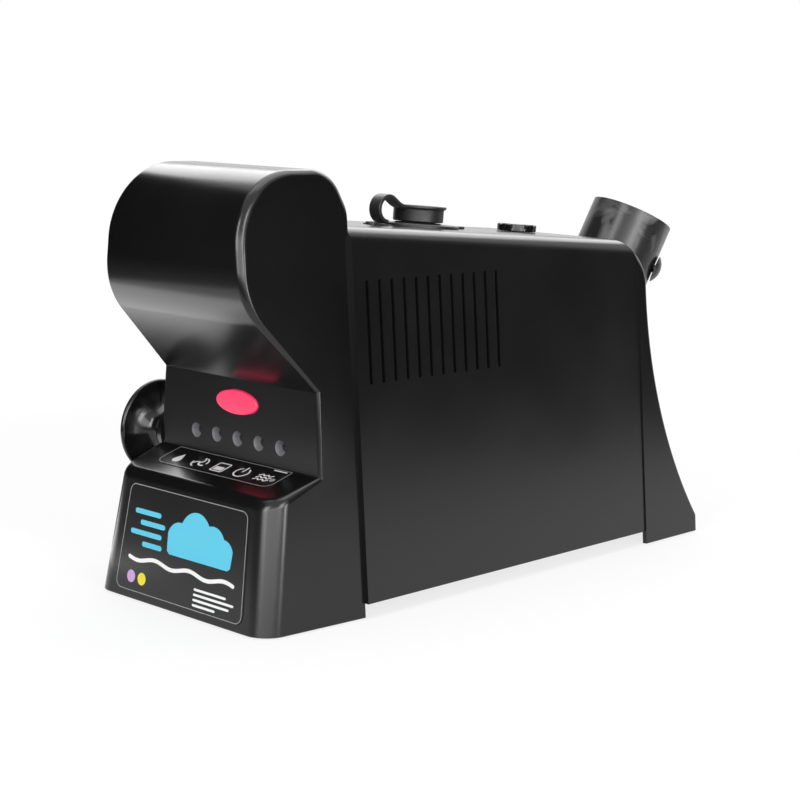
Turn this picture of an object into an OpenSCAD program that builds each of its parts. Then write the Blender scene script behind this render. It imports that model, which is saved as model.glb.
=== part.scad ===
// Ultrasonic in-car mist machine: front control tower, drafted case, rear stand and swivelling outlet.
// Built with the seam between tower and case at y = 0, front towards -Y,
// and +X the side whose slots are in view.

/* [Body] */
// Width of the control tower where it meets the floor at the case seam
base_w = 140; // [120:1:160]
// Lean of the side walls off vertical, degrees
side_draft = 5.64; // [2:0.1:8]
// Narrowing of the base sides towards the front, degrees
front_taper = 4.1; // [0:0.1:8]
// Narrowing of the head sides towards the front, degrees
head_taper = 0.9; // [0:0.1:4]
// Wall thickness of the mouldings
wall = 2.6; // [2:0.1:4]
// Air under the housing edges, taken up by the rubber feet
foot_gap = 0.8; // [0.5:0.1:2]

/* [Control tower] */
// Distance from the seam to the foot of the base front
base_depth = 65.7; // [55:0.5:80]
// Lean of the base front face off vertical, degrees
base_lean = 8; // [0:0.5:15]
// Radius of the upright front corners of the base
base_corner = 12; // [6:0.5:16]
// Height of the front edge of the legend shelf
shelf_front_z = 66.5; // [55:0.5:75]
// Height of the legend shelf where it meets the tower
shelf_back_z = 74.5; // [60:0.5:85]
// Depth of the tower from the seam to its front panel
tower_depth = 25.5; // [20:0.5:35]
// Height of the crease under the head
waist_z = 116; // [100:1:130]
// Distance from the seam to the front of the head
head_front = 71; // [60:1:80]
// Radius of the round top of the head at the front
head_r = 37.5; // [30:0.5:44]
// Radius of the round top of the head at the back
head_back_r = 20; // [14:0.5:28]
// Radius where the head front turns under
chin_r = 40; // [30:0.5:44]
// Height of the head
head_top_z = 224; // [200:1:250]
// Edge rounding on the head and base
edge_r = 4.5; // [2:0.5:8]
// Rounding of the upright front edges of the tower
tower_edge_r = 2; // [1:0.5:4]

/* [Controls] */
// Width of the oval start button
button_w = 31; // [20:0.5:40]
// Height of the oval start button
button_h = 12.5; // [8:0.5:18]
// Height of the start button above the floor
button_z = 104; // [98:0.5:106]
// Press travel of the start button
button_travel = 1.8; // [1:0.1:3]
// Clear gap round the start button
button_gap = 0.35; // [0.3:0.05:0.6]
// Spacing of the status lamps
lamp_pitch = 16; // [12:0.5:18]
// Height of the row of status lamps
lamp_z = 85; // [80:0.5:90]
// Diameter of the lamp wells
lamp_recess_d = 8; // [6.5:0.5:10]
// Diameter of the lamps
lamp_d = 5; // [3:1:5]

/* [Case] */
// Length of the case from the tower seam to the stand
case_len = 236.4; // [200:1:260]
// Height of the case top at the tower seam
case_top_z = 196; // [180:1:210]
// Fall of the case top towards the rear, degrees
top_fall = 3.9; // [0:0.1:6]
// How far each case side stands outside the tower side
case_step = 2.4; // [0:0.1:4]
// Rounding along the top edges of the case
case_edge_r = 9; // [5:0.5:12]
// Rounding of the case top at the rear, seen from the side
case_rear_r = 17; // [10:0.5:24]
// Height of the lower edge of the case
case_low_z = 10.9; // [8:0.1:14]
// Number of vent slots on each side
slot_n = 12; // [6:1:16]
// Spacing of the vent slots
slot_pitch = 9; // [7:0.5:12]
// Width of a vent slot
slot_w = 2.2; // [1.5:0.1:3.5]
// Height of the lower end of the slots
slot_low_z = 117.5; // [100:0.5:130]
// Height of the upper end of the slots
slot_high_z = 169.5; // [150:0.5:175]
// Distance from the seam to the first slot
slot_start = 9.4; // [8:0.2:20]

/* [Rear stand] */
// Depth of the stand at its top
stand_depth = 8.6; // [6:0.2:14]
// Radius of the hollow sweep down to the foot
stand_sweep_r = 247; // [200:1:320]
// Height where the hollow sweep starts
stand_sweep_z = 152; // [130:1:160]
// Height of the upright edge at the tip of the foot
foot_edge_z = 11; // [6:0.5:16]
// Rounding of the stand at the top rear
stand_top_r = 26; // [18:0.5:32]
// How far each stand side stands outside the case side
stand_step = 0.8; // [0.2:0.1:2]

/* [Outlet] */
// Outside diameter of the outlet tube
tube_d = 51; // [44:0.5:60]
// Wall of the outlet tube
tube_wall = 2.5; // [2:0.1:3.5]
// Height of the swivel axis at the rear wall
outlet_z = 132.7; // [120:0.5:140]
// Bend of the elbow between the wall stub and the tube, degrees
elbow_deg = 67.5; // [45:0.5:90]
// Radius of the inside of the elbow bend
elbow_in = 2; // [1:0.5:14]
// Turn of the elbow about its stub at rest, degrees
elbow_lean = 9.7; // [-30:0.1:30]
// Length of the straight tube past the elbow
tube_len = 46; // [30:0.5:70]
// Gap between the case rear and the middle of the elbow bend
elbow_reach = 32; // [30:0.5:45]

/* [Top fittings] */
// Distance from the seam to the filler
filler_y = 106; // [95:0.5:115]
// Outside diameter of the filler cap body
cap_d = 28; // [22:0.5:34]
// Diameter of the filler flange
flange_d = 46; // [36:0.5:52]
// Distance from the seam to the vent cap
vent_y = 192; // [185:0.5:198]
// Diameter of the vent cap
vent_d = 23; // [18:0.5:28]

/* [Cord spool] */
// Diameter of the flared disc of the cord spool
spool_d = 51.5; // [44:0.5:58]
// Distance from the tower side to the flared disc
spool_reach = 15; // [10:0.5:20]

/* [Hidden] */
$fn = 64;
hull_fn = 32;
thin = 0.02;
big = 400;
draft_run = tan(side_draft);
taper_run = tan(front_taper);
head_taper_run = tan(head_taper);
fall_run = tan(top_fall);
// the base taper turns into the head taper between these heights
taper_low_z = shelf_front_z;
taper_high_z = waist_z + 3;
half_w = base_w / 2;
lean_run = tan(base_lean);
head_mid_y = -(head_front - head_r);
head_mid_z = head_top_z - head_r;
chin_y = -(head_front - chin_r);
chin_z = waist_z - tower_depth + head_front - chin_r + chin_r * sqrt(2);
case_low_half = half_w + case_step;
floor_t = 2.9;
tray_z = case_low_z - floor_t;
spool_z = 79;
spool_y = -13;
knob_d = 16.4;
knob_down = 27;
knob_out = 4.6;
knob_turn = 30;
rear_y = case_len + stand_depth;
tube_r = tube_d / 2;
elbow_r = tube_r + elbow_in;
bore_r = tube_r - tube_wall;
mitre = elbow_r * tan(elbow_deg / 2);
bend_y = case_len + elbow_reach;
tube_lift = mitre + tube_len;
tilt_y = cos(elbow_deg);
tip_y = bend_y + tube_lift * tilt_y + tube_r * sin(elbow_deg);
foot_y = rear_y + stand_sweep_r - sqrt(pow(stand_sweep_r, 2) - pow(stand_sweep_z - foot_edge_z, 2));
spool_low_half = tower_half(spool_y, spool_z);
tower_lean_low = tower_half(-tower_depth, taper_low_z);
tower_lean_high = tower_half(-tower_depth, taper_high_z);
tower_lean = atan((tower_lean_low - tower_lean_high) / (taper_high_z - taper_low_z));
spool_face = spool_low_half + spool_reach + 3.6;
mid_x = (case_low_half + stand_step - foot_gap * draft_run - spool_face) / 2;
mid_y = (tip_y - head_front) / 2;
fit = 0.3;
shaft_fit = 0.08;
// legend shelf: rounding lip ahead of it, run to the tower and slope
shelf_lip = 4;
shelf_run = tower_depth + 15;
shelf_turn = atan((shelf_back_z - shelf_front_z) / (-front_y(shelf_front_z) - tower_depth - shelf_lip));
// the back wall of the head starts a little below the case top
back_wall_z = case_top_z - 6;
// boards and the switch behind the front panel
switch_front = 8.6;
board_y = 14.4;
board_t = 1.6;
board_half = 48;
board_low_z = 74.5;
board_high_z = 114;
board_face_y = -tower_depth + board_y;
board_back_y = board_face_y + board_t;
post_x = 40;
post_low_z = 79.5;
post_high_z = 109;
driver_y = 12;
driver_post_x = 38;
driver_low_z = 34;
driver_high_z = 98;
driver_edge = 6;
driver_post_d = 6;
driver_face = driver_y + board_t;
tall_part_h = 14;
// holes in the left side
spool_screw_d = 4;
inlet_d = 16;
inlet_y = -22;
inlet_z = 30;
// feet and the webs that carry them
pad_d = 14;
pad_t = 4;
front_foot_x = 48;
front_foot_y = -44;
rear_foot_x = 56;
rear_foot_y = foot_y - 16;
web_t = 3;
web_run = 18;
// joints of case, stand and outlet
corner_steps = 9;
bulkhead_t = 2.4;
cover_screw_x = 40;
cover_low_z = 40;
cover_high_z = 110;
stand_wall = 3;
flange_rim = 4.5;
flange_room_d = tube_d + 2 * flange_rim;
collar_rim = 12.5;
collar_d = tube_d + 2 * collar_rim;
collar_t = 2.6;
collar_screw_in = 5;
collar_screw_d = 2.5;
collar_pitch = collar_d / 2 - collar_screw_in;
boss_rim = 4;
boss_d = collar_d + 2 * boss_rim;
stub_start = 2.2;
hose_thread_d = 5;
// tank fittings
filler_tube_d = 25;
filler_bore_d = 21;
vent_tube_d = 14;
flange_t = 1.8;
body_h = 8.6;
strap_y = 79;
strap_z = 199.5;
strap_r = 8;
strap_t = 2.2;
strap_w = 8;
tank_y0 = 64;
tank_y1 = 200;
filter_t = 3;
filter_over = 2.5;
tank_room = 2.7;
tank_half = case_half(slot_high_z + filter_over) - wall - filter_t - tank_room;
tank_z0 = 14;
port_cover = 2.3;
tank_z1 = outlet_z + bore_r + port_cover;
tank_t = 2.5;
mist_y = 140;
disc_z = tank_z0 + 20.5;
float_y = 92;
float_travel = 22;
float_h = 16;
float_low_z = tank_z0 + 7;
float_stem_d = 7;
float_clip_z = float_low_z + float_h + float_travel + 3;
fan_y = 40;
fan_t = 20;
fan_half = 30;
fan_hole_in = 5;
fan_hole = fan_half - fan_hole_in;
port_rim = 3;
port_d = 2 * (fan_half - port_rim);
spindle_d = 6;

function head_share(z) = min(max((z - taper_low_z) / (taper_high_z - taper_low_z), 0), 1);
function taper_at(z) = taper_run + (head_taper_run - taper_run) * head_share(z);
function tower_half(y, z) = half_w - z * draft_run + y * taper_at(z);
function case_half(z) = case_low_half - z * draft_run;
function top_z(y) = case_top_z - y * fall_run;
function front_y(z) = -base_depth + z * lean_run;
function collar_x(a) = collar_pitch * cos(a);
function collar_z(a) = outlet_z + collar_pitch * sin(a);

// ---------- helpers ----------
module place() {
    translate([-mid_x, -mid_y, 0])
        children();
}
module along_x(length) {
    rotate([90, 0, 90])
        linear_extrude(length, center = true)
            children();
}
module along_y(length) {
    rotate([-90, 0, 0])
        linear_extrude(length)
            mirror([0, 1])
                children();
}
module block(x0, y0, z0, x1, y1, z1) {
    translate([x0, y0, z0])
        cube([x1 - x0, y1 - y0, z1 - z0]);
}
module rod_y(d, y0, y1, x, z) {
    translate([x, y0, z])
        rotate([-90, 0, 0])
            cylinder(d = d, h = y1 - y0);
}
module rod_z(d, z0, z1, x, y) {
    translate([x, y, z0])
        cylinder(d = d, h = z1 - z0);
}
// a level slice of the tower or base, front corners rounded
module tower_slice(z, front, corner, inset, back) {
    r = max(corner - inset, 0.5);
    f = front + inset;
    translate([0, 0, z])
        linear_extrude(thin)
            hull() {
                for (s = [-1, 1]) {
                    translate([s * (tower_half(f + r, z) - inset - r), f + r])
                        circle(r, $fn = hull_fn);
                    translate([s * (tower_half(back, z) - inset - 0.05), back - 0.05])
                        square(0.1, center = true);
                }
            }
}
module head_outline(inset, back) {
    offset(r = -inset)
        hull() {
            translate([head_mid_y, head_mid_z])
                circle(head_r, $fn = 72);
            translate([chin_y, chin_z])
                circle(chin_r, $fn = 72);
            translate([-head_back_r, head_top_z - head_back_r])
                circle(head_back_r, $fn = 48);
            polygon([[-tower_depth, waist_z], [back, waist_z], [back, head_mid_z]]);
        }
}
module head_side_slice(side, inset, back_in, outline_in) {
    lean = [1, side * head_taper_run, -side * draft_run, side * (half_w - back_in)];
    multmatrix([lean, [0, 1, 0, 0], [0, 0, 1, 0]])
        along_x(thin)
            head_outline(outline_in + inset, 12);
}
module head_solid(inset, round_r) {
    soft = round_r * 0.3;
    hull()
        for (s = [-1, 1]) {
            head_side_slice(s, inset, inset + round_r, 0);
            if (round_r > 0)
                head_side_slice(s, inset, inset + soft, soft);
            if (round_r > 0)
                head_side_slice(s, inset, inset, round_r);
        }
}
module tower_solid(inset) {
    hull() {
        tower_slice(taper_low_z, -tower_depth, tower_edge_r, inset, 0);
        tower_slice(taper_high_z, -tower_depth, tower_edge_r, inset, 0);
    }
}
module base_solid(inset, low) {
    lip = shelf_lip;
    hull() {
        tower_slice(low, front_y(low), base_corner, inset, 0);
        tower_slice(shelf_front_z - lip, front_y(shelf_front_z - lip), base_corner, inset, 0);
        translate([0, front_y(shelf_front_z) + lip, shelf_front_z - inset])
            rotate([shelf_turn, 0, 0])
                translate([0, inset, -thin])
                    linear_extrude(thin)
                        hull()
                            for (s = [-1, 1]) {
                                edge = tower_half(front_y(shelf_front_z), shelf_front_z) - inset;
                                x = edge - base_corner - 1;
                                translate([s * x, base_corner])
                                    circle(base_corner - 2, $fn = hull_fn);
                                translate([s * (x + base_corner), shelf_run])
                                    circle(1, $fn = hull_fn);
                            }
    }
}

// ---------- front control tower ----------
module front_housing() {
    color([0.05, 0.05, 0.055])
        difference() {
            union() {
                intersection() {
                    head_solid(0, edge_r);
                    block(-big, -big, 0, big, 0, big);
                }
                tower_solid(0);
                base_solid(0, foot_gap);
            }
            // hollow of the head, closed at the back where the head stands above the case
            intersection() {
                head_solid(wall, 0);
                union() {
                    block(-big, -big, 0, big, thin * 4, back_wall_z);
                    block(-big, -big, 0, big, -wall, big);
                }
            }
            translate([0, thin * 3, 0])
                tower_solid(wall);
            // hollow of the base, with the web that carries the front feet left in
            difference() {
                translate([0, thin * 3, 0])
                    base_solid(wall, foot_gap - 0.5);
                block(-big, front_foot_y - web_run / 2, pad_t,
                    big, front_foot_y + web_run / 2, pad_t + web_t);
            }
            // window for the start button and the wells of the lamps
            translate([0, -tower_depth - 5, button_z])
                rotate([-90, 0, 0])
                    scale([1, (button_h + 2 * button_gap) / (button_w + 2 * button_gap), 1])
                        cylinder(d = button_w + 2 * button_gap, h = 12, $fn = 48);
            for (i = [-2:2])
                rod_y(lamp_recess_d, -tower_depth - 5, -tower_depth + 6, i * lamp_pitch, lamp_z);
            // holes for the cord spool screw and the power inlet in the left side
            translate([-spool_low_half, spool_y, spool_z])
                rotate([0, 90, 0])
                    cylinder(d = spool_screw_d + 0.4, h = 20, center = true);
            translate([-tower_half(inlet_y, inlet_z), inlet_y, inlet_z])
                rotate([0, 90 + side_draft, front_taper])
                    cylinder(d = inlet_d, h = 20, center = true);
        }
}

module legend_overlay() {
    // thin printed sheet on the sloping shelf
    overlay_t = 0.6;
    overlay_half = 43.5;
    overlay_run = 19;
    border = 8.5;
    corner = 6;
    color([0.03, 0.03, 0.035])
        translate([0, front_y(shelf_front_z) + shelf_lip, shelf_front_z])
            rotate([shelf_turn, 0, 0])
                translate([0, border, 0.02])
                    linear_extrude(overlay_t)
                        union() {
                            translate([-overlay_half, corner])
                                square([2 * overlay_half, overlay_run - corner]);
                            translate([-overlay_half + corner, 0])
                                square([2 * (overlay_half - corner), overlay_run]);
                            for (s = [-1, 1])
                                translate([s * (overlay_half - corner), corner])
                                    circle(corner);
                        }
}
module front_label() {
    label_t = 0.5;
    low_half = 49.5;
    high_half = 45.5;
    low = 4;
    high = 60;
    corner = 5;
    slant = cos(base_lean);
    color([0.02, 0.02, 0.025])
        translate([0, -base_depth, 0])
            rotate([90 - base_lean, 0, 0])
                translate([0, 0, 0.02])
                    linear_extrude(label_t)
                        union() {
                            polygon([
                                [-low_half, (low + corner) / slant],
                                [-low_half + corner, low / slant],
                                [low_half - corner, low / slant],
                                [low_half, (low + corner) / slant],
                                [high_half, (high - corner) / slant],
                                [high_half - corner, high / slant],
                                [-high_half + corner, high / slant],
                                [-high_half, (high - corner) / slant]
                            ]);
                            for (s = [-1, 1]) {
                                translate([s * (low_half - corner - 0.2), (low + corner) / slant])
                                    circle(corner);
                                translate([s * (high_half - corner), (high - corner) / slant])
                                    circle(corner);
                            }
                        }
}
module start_button() {
    // oval cap standing 1.6 mm out of the panel, with a stem behind it
    proud = 1.6;
    cap_depth = 8.2;
    stem_d = 5;
    color([0.85, 0.05, 0.12])
        union() {
            translate([0, -tower_depth - proud, button_z])
                rotate([-90, 0, 0])
                    scale([1, button_h / button_w, 1])
                        union() {
                            cylinder(d1 = button_w - 3, d2 = button_w, h = proud + 0.4, $fn = 48);
                            translate([0, 0, proud + 0.4])
                                cylinder(d = button_w, h = cap_depth - proud - 0.4, $fn = 48);
                        }
            rod_y(stem_d, -tower_depth - proud + cap_depth, -tower_depth + switch_front, 0, button_z);
        }
}
module status_lamps() {
    // five domed lamps on short legs down to the board
    dome_z = wall - 0.2;
    leg_d = 1.2;
    foot_y = -tower_depth + dome_z + 8;
    color([0.75, 0.8, 0.78])
        for (i = [-2:2]) {
            translate([i * lamp_pitch, -tower_depth + dome_z + lamp_d / 2, lamp_z])
                sphere(d = lamp_d);
            rod_y(lamp_d, -tower_depth + dome_z + lamp_d / 2, foot_y, i * lamp_pitch, lamp_z);
            rod_y(leg_d, foot_y, board_face_y, i * lamp_pitch, lamp_z);
        }
}
module control_board() {
    color([0.05, 0.3, 0.16])
        difference() {
            block(-board_half, board_face_y, board_low_z, board_half, board_back_y, board_high_z);
            for (x = [-post_x, post_x])
                for (z = [post_low_z, post_high_z])
                    rod_y(3.2, -tower_depth + board_y - 1, -tower_depth + board_y + 5, x, z);
        }
}
module press_switch() {
    // tactile switch on the board behind the start button
    body = 12;
    color([0.1, 0.1, 0.1])
        union() {
            block(-body / 2, -tower_depth + switch_front + 4, button_z - body / 2,
                body / 2, -tower_depth + board_y, button_z + body / 2);
            rod_y(6.6, -tower_depth + switch_front + button_travel + fit,
                -tower_depth + switch_front + 4, 0, button_z);
        }
}
module board_posts() {
    // moulded posts from the inside of the panel to the board, with their screws' bosses
    color([0.09, 0.09, 0.1])
        for (x = [-post_x, post_x])
            for (z = [post_low_z, post_high_z])
                difference() {
                    rod_y(6.4, -tower_depth + wall + 5 * thin, -tower_depth + board_y, x, z);
                    rod_y(2.5, -tower_depth + wall + 3, -tower_depth + board_y + 1, x, z);
                }
}
module board_screws() {
    board_screw_d = 2.5;
    color([0.7, 0.7, 0.72])
        for (x = [-post_x, post_x])
            for (z = [post_low_z, post_high_z])
                union() {
                    rod_y(board_screw_d, board_face_y - 6, board_back_y, x, z);
                    rod_y(5.6, board_back_y, board_back_y + 2, x, z);
                }
}
module cord_spool() {
    // turned shape: foot, waisted neck and flared disc, on the left side of the tower
    neck_r = 10;
    foot_r = 14;
    disc_t = 3.6;
    disc_r = spool_d / 2;
    foot_lift = 0.45;
    color([0.06, 0.06, 0.065])
        translate([-spool_low_half, spool_y, spool_z])
            difference() {
                rotate([0, -90, 0])
                    rotate_extrude()
                        difference() {
                            square([disc_r, spool_reach + disc_t]);
                            translate([neck_r + 9, spool_reach - 7.5])
                                circle(9);
                            translate([neck_r + 9, -1])
                                square([disc_r, spool_reach - 6.5]);
                            translate([neck_r + 4.6, 1.6])
                                square([20, spool_reach - 9]);
                            translate([neck_r, 2])
                                square([6, spool_reach - 8.5]);
                            translate([0, spool_reach + 1.2])
                                square([5.2, 10]);
                        }
                rotate([0, 90, 0])
                    cylinder(d = spool_screw_d + 0.4, h = 60, center = true);
                // the foot is cut to the leaning side of the tower
                rotate([0, tower_lean, 0])
                    rotate([0, 0, front_taper])
                        block(-foot_lift, -50, -50, 50, 50, 50);
            }
}
module spool_screw() {
    head_t = 2.2;
    color([0.62, 0.62, 0.64])
        translate([-spool_low_half, spool_y, spool_z])
            rotate([0, -90, 0])
                difference() {
                    union() {
                        translate([0, 0, -9])
                            cylinder(d = spool_screw_d, h = spool_reach + 10.2);
                        translate([0, 0, spool_reach + 1.2])
                            cylinder(d = 8.4, h = head_t);
                        translate([0, 0, -9])
                            cylinder(d = 7.6, h = 3.4, $fn = 6);
                    }
                    translate([0, 0, spool_reach + 1.2 + head_t - 1.2])
                        cylinder(d = 3.4, h = 3, $fn = 6);
                }
}
module power_inlet() {
    // round low-voltage inlet in the left side of the base: bezel, barrel and centre pin
    bezel_d = 21;
    bezel_t = 1.8;
    barrel_len = 17;
    well_d = 9;
    pin_d = 2.4;
    color([0.08, 0.08, 0.085])
        translate([-tower_half(inlet_y, inlet_z), inlet_y, inlet_z])
            rotate([0, -90 + side_draft, front_taper])
                difference() {
                    union() {
                        translate([0, 0, 0.05])
                            cylinder(d = bezel_d, h = bezel_t);
                        translate([0, 0, -barrel_len])
                            cylinder(d = inlet_d - 0.8, h = barrel_len + 1);
                    }
                    difference() {
                        translate([0, 0, -barrel_len + 4])
                            cylinder(d = well_d, h = barrel_len + 4);
                        translate([0, 0, -barrel_len])
                            cylinder(d = pin_d, h = barrel_len - 1);
                    }
                }
}
module bulkhead() {
    // plate that closes the back of the tower and carries the driver board
    low = case_low_z;
    high = top_z(0) - wall;
    slack = 0.2;
    bevel = 8;
    wire_hole_d = 18;
    wire_hole_z = 60;
    color([0.1, 0.1, 0.11])
        difference() {
            rotate([90, 0, 180])
                linear_extrude(bulkhead_t)
                    polygon([
                        [-(case_half(low) - wall - slack), low],
                        [case_half(low) - wall - slack, low],
                        [case_half(high - bevel) - wall - slack, high - bevel],
                        [case_half(high) - wall - slack - bevel, high - slack],
                        [-(case_half(high) - wall - slack - bevel), high - slack],
                        [-(case_half(high - bevel) - wall - slack), high - bevel]
                    ]);
            rod_y(wire_hole_d, -1, 10, 0, wire_hole_z);
            for (x = [-driver_post_x, driver_post_x])
                for (z = [driver_low_z, driver_high_z])
                    rod_y(3.2, -1, 10, x, z);
        }
}

// ---------- case ----------
function arc_side(i) = side_draft + (90 - side_draft) * i / corner_steps;
module case_section(y, inset, grow) {
    r = case_edge_r - inset;
    low = -20;
    z = top_z(y) - inset - r;
    x = case_half(z) - inset + grow - r / cos(side_draft);
    foot = case_half(low) - inset + grow;
    right = [for (i = [0:corner_steps]) [x + r * cos(arc_side(i)), z + r * sin(arc_side(i))]];
    left = [for (i = [corner_steps:-1:0]) [-x - r * cos(arc_side(i)), z + r * sin(arc_side(i))]];
    translate([0, y, 0])
        rotate([90, 0, 0])
            linear_extrude(thin, center = true)
                polygon(concat([[-foot, low], [foot, low]], right, left));
}
module case_hull(y0, y1, inset, grow) {
    hull() {
        case_section(y0, inset, grow);
        case_section(y1, inset, grow);
    }
}
module case_side_outline(inset, low) {
    r = case_rear_r - inset;
    y = case_len - inset;
    front = (inset > 0) ? -5 : 0;
    difference() {
        polygon([[front, low], [y, low], [y, top_z(y) + 10], [front, top_z(front) + 10]]);
        difference() {
            translate([y - r, top_z(y - r) - r - inset])
                square([r + 5, r + 30]);
            translate([y - r, top_z(y - r) - r - inset])
                circle(r);
        }
    }
}
module case_cover() {
    deep = 40;
    color([0.045, 0.045, 0.05])
        difference() {
            intersection() {
                case_hull(0, case_len + 20, 0, 0);
                along_x(2 * big)
                    case_side_outline(0, case_low_z);
            }
            intersection() {
                case_hull(-2, case_len + 20, wall, 0);
                along_x(2 * big)
                    case_side_outline(wall, -10);
            }
            // vent slots through both sides
            for (i = [0:slot_n - 1]) {
                y = slot_start + i * slot_pitch;
                block(-big, y - slot_w / 2, slot_low_z, big, y + slot_w / 2, slot_high_z);
            }
            // filler, vent and outlet holes
            rod_z(filler_tube_d + 1, case_top_z - deep, case_top_z + deep, 0, filler_y);
            rod_z(vent_tube_d + 1, case_top_z - deep, case_top_z + deep, 0, vent_y);
            rod_y(tube_d + 1, case_len - 10, case_len + 10, 0, outlet_z);
            for (x = [-cover_screw_x, cover_screw_x])
                for (z = [cover_low_z, cover_high_z])
                    rod_y(3.4, case_len - 10, case_len + 10, x, z);
        }
}
module base_tray() {
    // floor of the case: flat pan whose rim shows under the cover, with an upstand inside it
    upstand = 9;
    side = case_half(case_low_z);
    inner = side - wall - 0.3;
    tail = case_len - wall;
    color([0.035, 0.035, 0.04])
        difference() {
            union() {
                difference() {
                    block(-big, 0, tray_z, big, case_len, case_low_z);
                    for (s = [0, 1])
                        mirror([s, 0, 0])
                            translate([case_low_half, 0, 0])
                                rotate([0, -side_draft, 0])
                                    block(0, -10, -50, 2 * big, case_len + 10, 50);
                }
                difference() {
                    block(-inner + 1.2, 3, tray_z, inner - 1.2, tail - 0.6, case_low_z + upstand);
                    block(-inner + 3.4, 5.2, tray_z - 1, inner - 3.4, tail - 2.8, case_low_z + upstand + 1);
                }
                block(-inner + 3, 5, tray_z, inner - 3, tail - 2.4, case_low_z);
            }
            // drain and air holes in the floor
            for (i = [-3:3])
                for (y = [20, 30])
                    rod_z(5, 0, 30, i * 12, y);
        }
}

// ---------- rear stand ----------
module stand_outline(inset) {
    sweep_r = stand_sweep_r + inset;
    y = rear_y - inset;
    r = stand_top_r - inset;
    top = top_z(rear_y - stand_top_r) - inset;
    front = (inset > 0) ? case_len - 30 : case_len - case_rear_r + 2.4;
    difference() {
        polygon([[front, (inset > 0) ? -10 : foot_gap], [foot_y - inset, (inset > 0) ? -10 : foot_gap],
            [foot_y - inset, foot_edge_z - inset * 0.4], [y, stand_sweep_z], [y, top], [front, top]]);
        translate([rear_y + stand_sweep_r, stand_sweep_z])
            circle(sweep_r, $fn = 200);
        difference() {
            translate([y - r, top - r])
                square([r + 5, r + 30]);
            translate([y - r, top - r])
                circle(r);
        }
    }
}
module rear_stand() {
    color([0.05, 0.05, 0.055])
        difference() {
            union() {
                intersection() {
                    along_x(2 * big)
                        difference() {
                            stand_outline(0);
                            case_side_outline(0, -20);
                        }
                    case_hull(case_len - 40, case_len + 80, 0, stand_step);
                }
                // round pad behind the collar where the top curves away
                rod_y(collar_d + 2, case_len + 0.2, rear_y, 0, outlet_z);
            }
            // hollow, with the foot web and a boss round the outlet left in
            difference() {
                intersection() {
                    along_x(2 * big)
                        difference() {
                            stand_outline(stand_wall);
                            translate([case_len - 40, -20])
                                square([40 + stand_wall, 260]);
                            translate([rear_foot_y - web_run / 2, pad_t])
                                square([web_run, web_t]);
                        }
                    case_hull(case_len - 40, case_len + 80, stand_wall, stand_step);
                    block(-big, 0, -20, big, big, stand_sweep_z + 10);
                }
                rod_y(boss_d, case_len, case_len + 60, 0, outlet_z);
            }
            // flat seat for the collar, room for the turning flange, bore for the stub
            rod_y(collar_d + 2 * fit, rear_y, rear_y + 20, 0, outlet_z);
            rod_y(flange_room_d, case_len - 5, rear_y - 3, 0, outlet_z);
            rod_y(tube_d + 2 * shaft_fit, case_len - 5, rear_y + 20, 0, outlet_z);
            for (x = [-cover_screw_x, cover_screw_x])
                for (z = [cover_low_z, cover_high_z])
                    rod_y(2.8, case_len - 5, case_len + 2.6, x, z);
            for (a = [45:90:315])
                rod_y(collar_screw_d + 0.1, rear_y - 2.4, rear_y + 5, collar_x(a), collar_z(a));
        }
}
module stand_screws() {
    // screws from inside the case into the stand
    color([0.6, 0.6, 0.62])
        for (x = [-cover_screw_x, cover_screw_x])
            for (z = [cover_low_z, cover_high_z])
                union() {
                    rod_y(2.8, case_len - wall, case_len + 2.4, x, z);
                    rod_y(6, case_len - wall - 2.2, case_len - wall, x, z);
                }
}
module rubber_feet() {
    color([0.03, 0.03, 0.03])
        union() {
            for (x = [-front_foot_x, front_foot_x])
                rod_z(pad_d, 0, pad_t, x, front_foot_y);
            for (x = [-rear_foot_x, rear_foot_x])
                rod_z(pad_d, 0, pad_t, x, rear_foot_y);
        }
}

// ---------- outlet ----------
module outlet_frame() {
    // local frame of the elbow: Y out of the wall, turned about the stub
    translate([0, 0, outlet_z])
        rotate([0, elbow_lean, 0])
            children();
}
module tube_turn() {
    // from the elbow's own frame to the straight tube: Z along the tube, from the end of the bend
    translate([0, bend_y, 0])
        rotate([-(90 - elbow_deg), 0, 0])
            translate([0, 0, mitre])
                children();
}
module tube_frame() {
    outlet_frame()
        tube_turn()
            children();
}
module elbow_bend(r) {
    translate([0, bend_y - mitre, elbow_r])
        rotate([0, 90, 0])
            rotate_extrude(angle = elbow_deg)
                translate([elbow_r, 0])
                    circle(r);
}
module outlet_stub() {
    // flanged stub that turns in the stand wall; its flange runs behind the wall
    flange_y = case_len + stub_start;
    color([0.05, 0.05, 0.055])
        outlet_frame()
            difference() {
                union() {
                    rod_y(flange_room_d - 1, flange_y, flange_y + 3, 0, 0);
                    rod_y(tube_d, flange_y, bend_y - mitre, 0, 0);
                }
                rod_y(2 * bore_r, flange_y - 5, bend_y, 0, 0);
            }
}
module outlet_elbow() {
    // bend bonded to the stub
    color([0.05, 0.05, 0.055])
        outlet_frame()
            difference() {
                elbow_bend(tube_r);
                elbow_bend(bore_r);
            }
}
module nozzle_tube() {
    // straight end tube bonded to the bend, with a hole for the hose screw
    color([0.055, 0.055, 0.06])
        tube_frame()
            difference() {
                cylinder(r = tube_r, h = tube_len);
                translate([0, 0, -1])
                    cylinder(r = bore_r, h = tube_len + 2);
                translate([0, 0, tube_len - 1])
                    cylinder(r1 = bore_r, r2 = bore_r + 1, h = 1.01);
                hose_screw_frame()
                    cylinder(d = hose_thread_d + 2 * shaft_fit, h = 20, center = true);
            }
}
module hose_screw_frame() {
    translate([0, 0, tube_len - knob_down])
        rotate([0, 90, knob_turn])
            translate([0, 0, tube_r])
                children();
}
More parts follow.
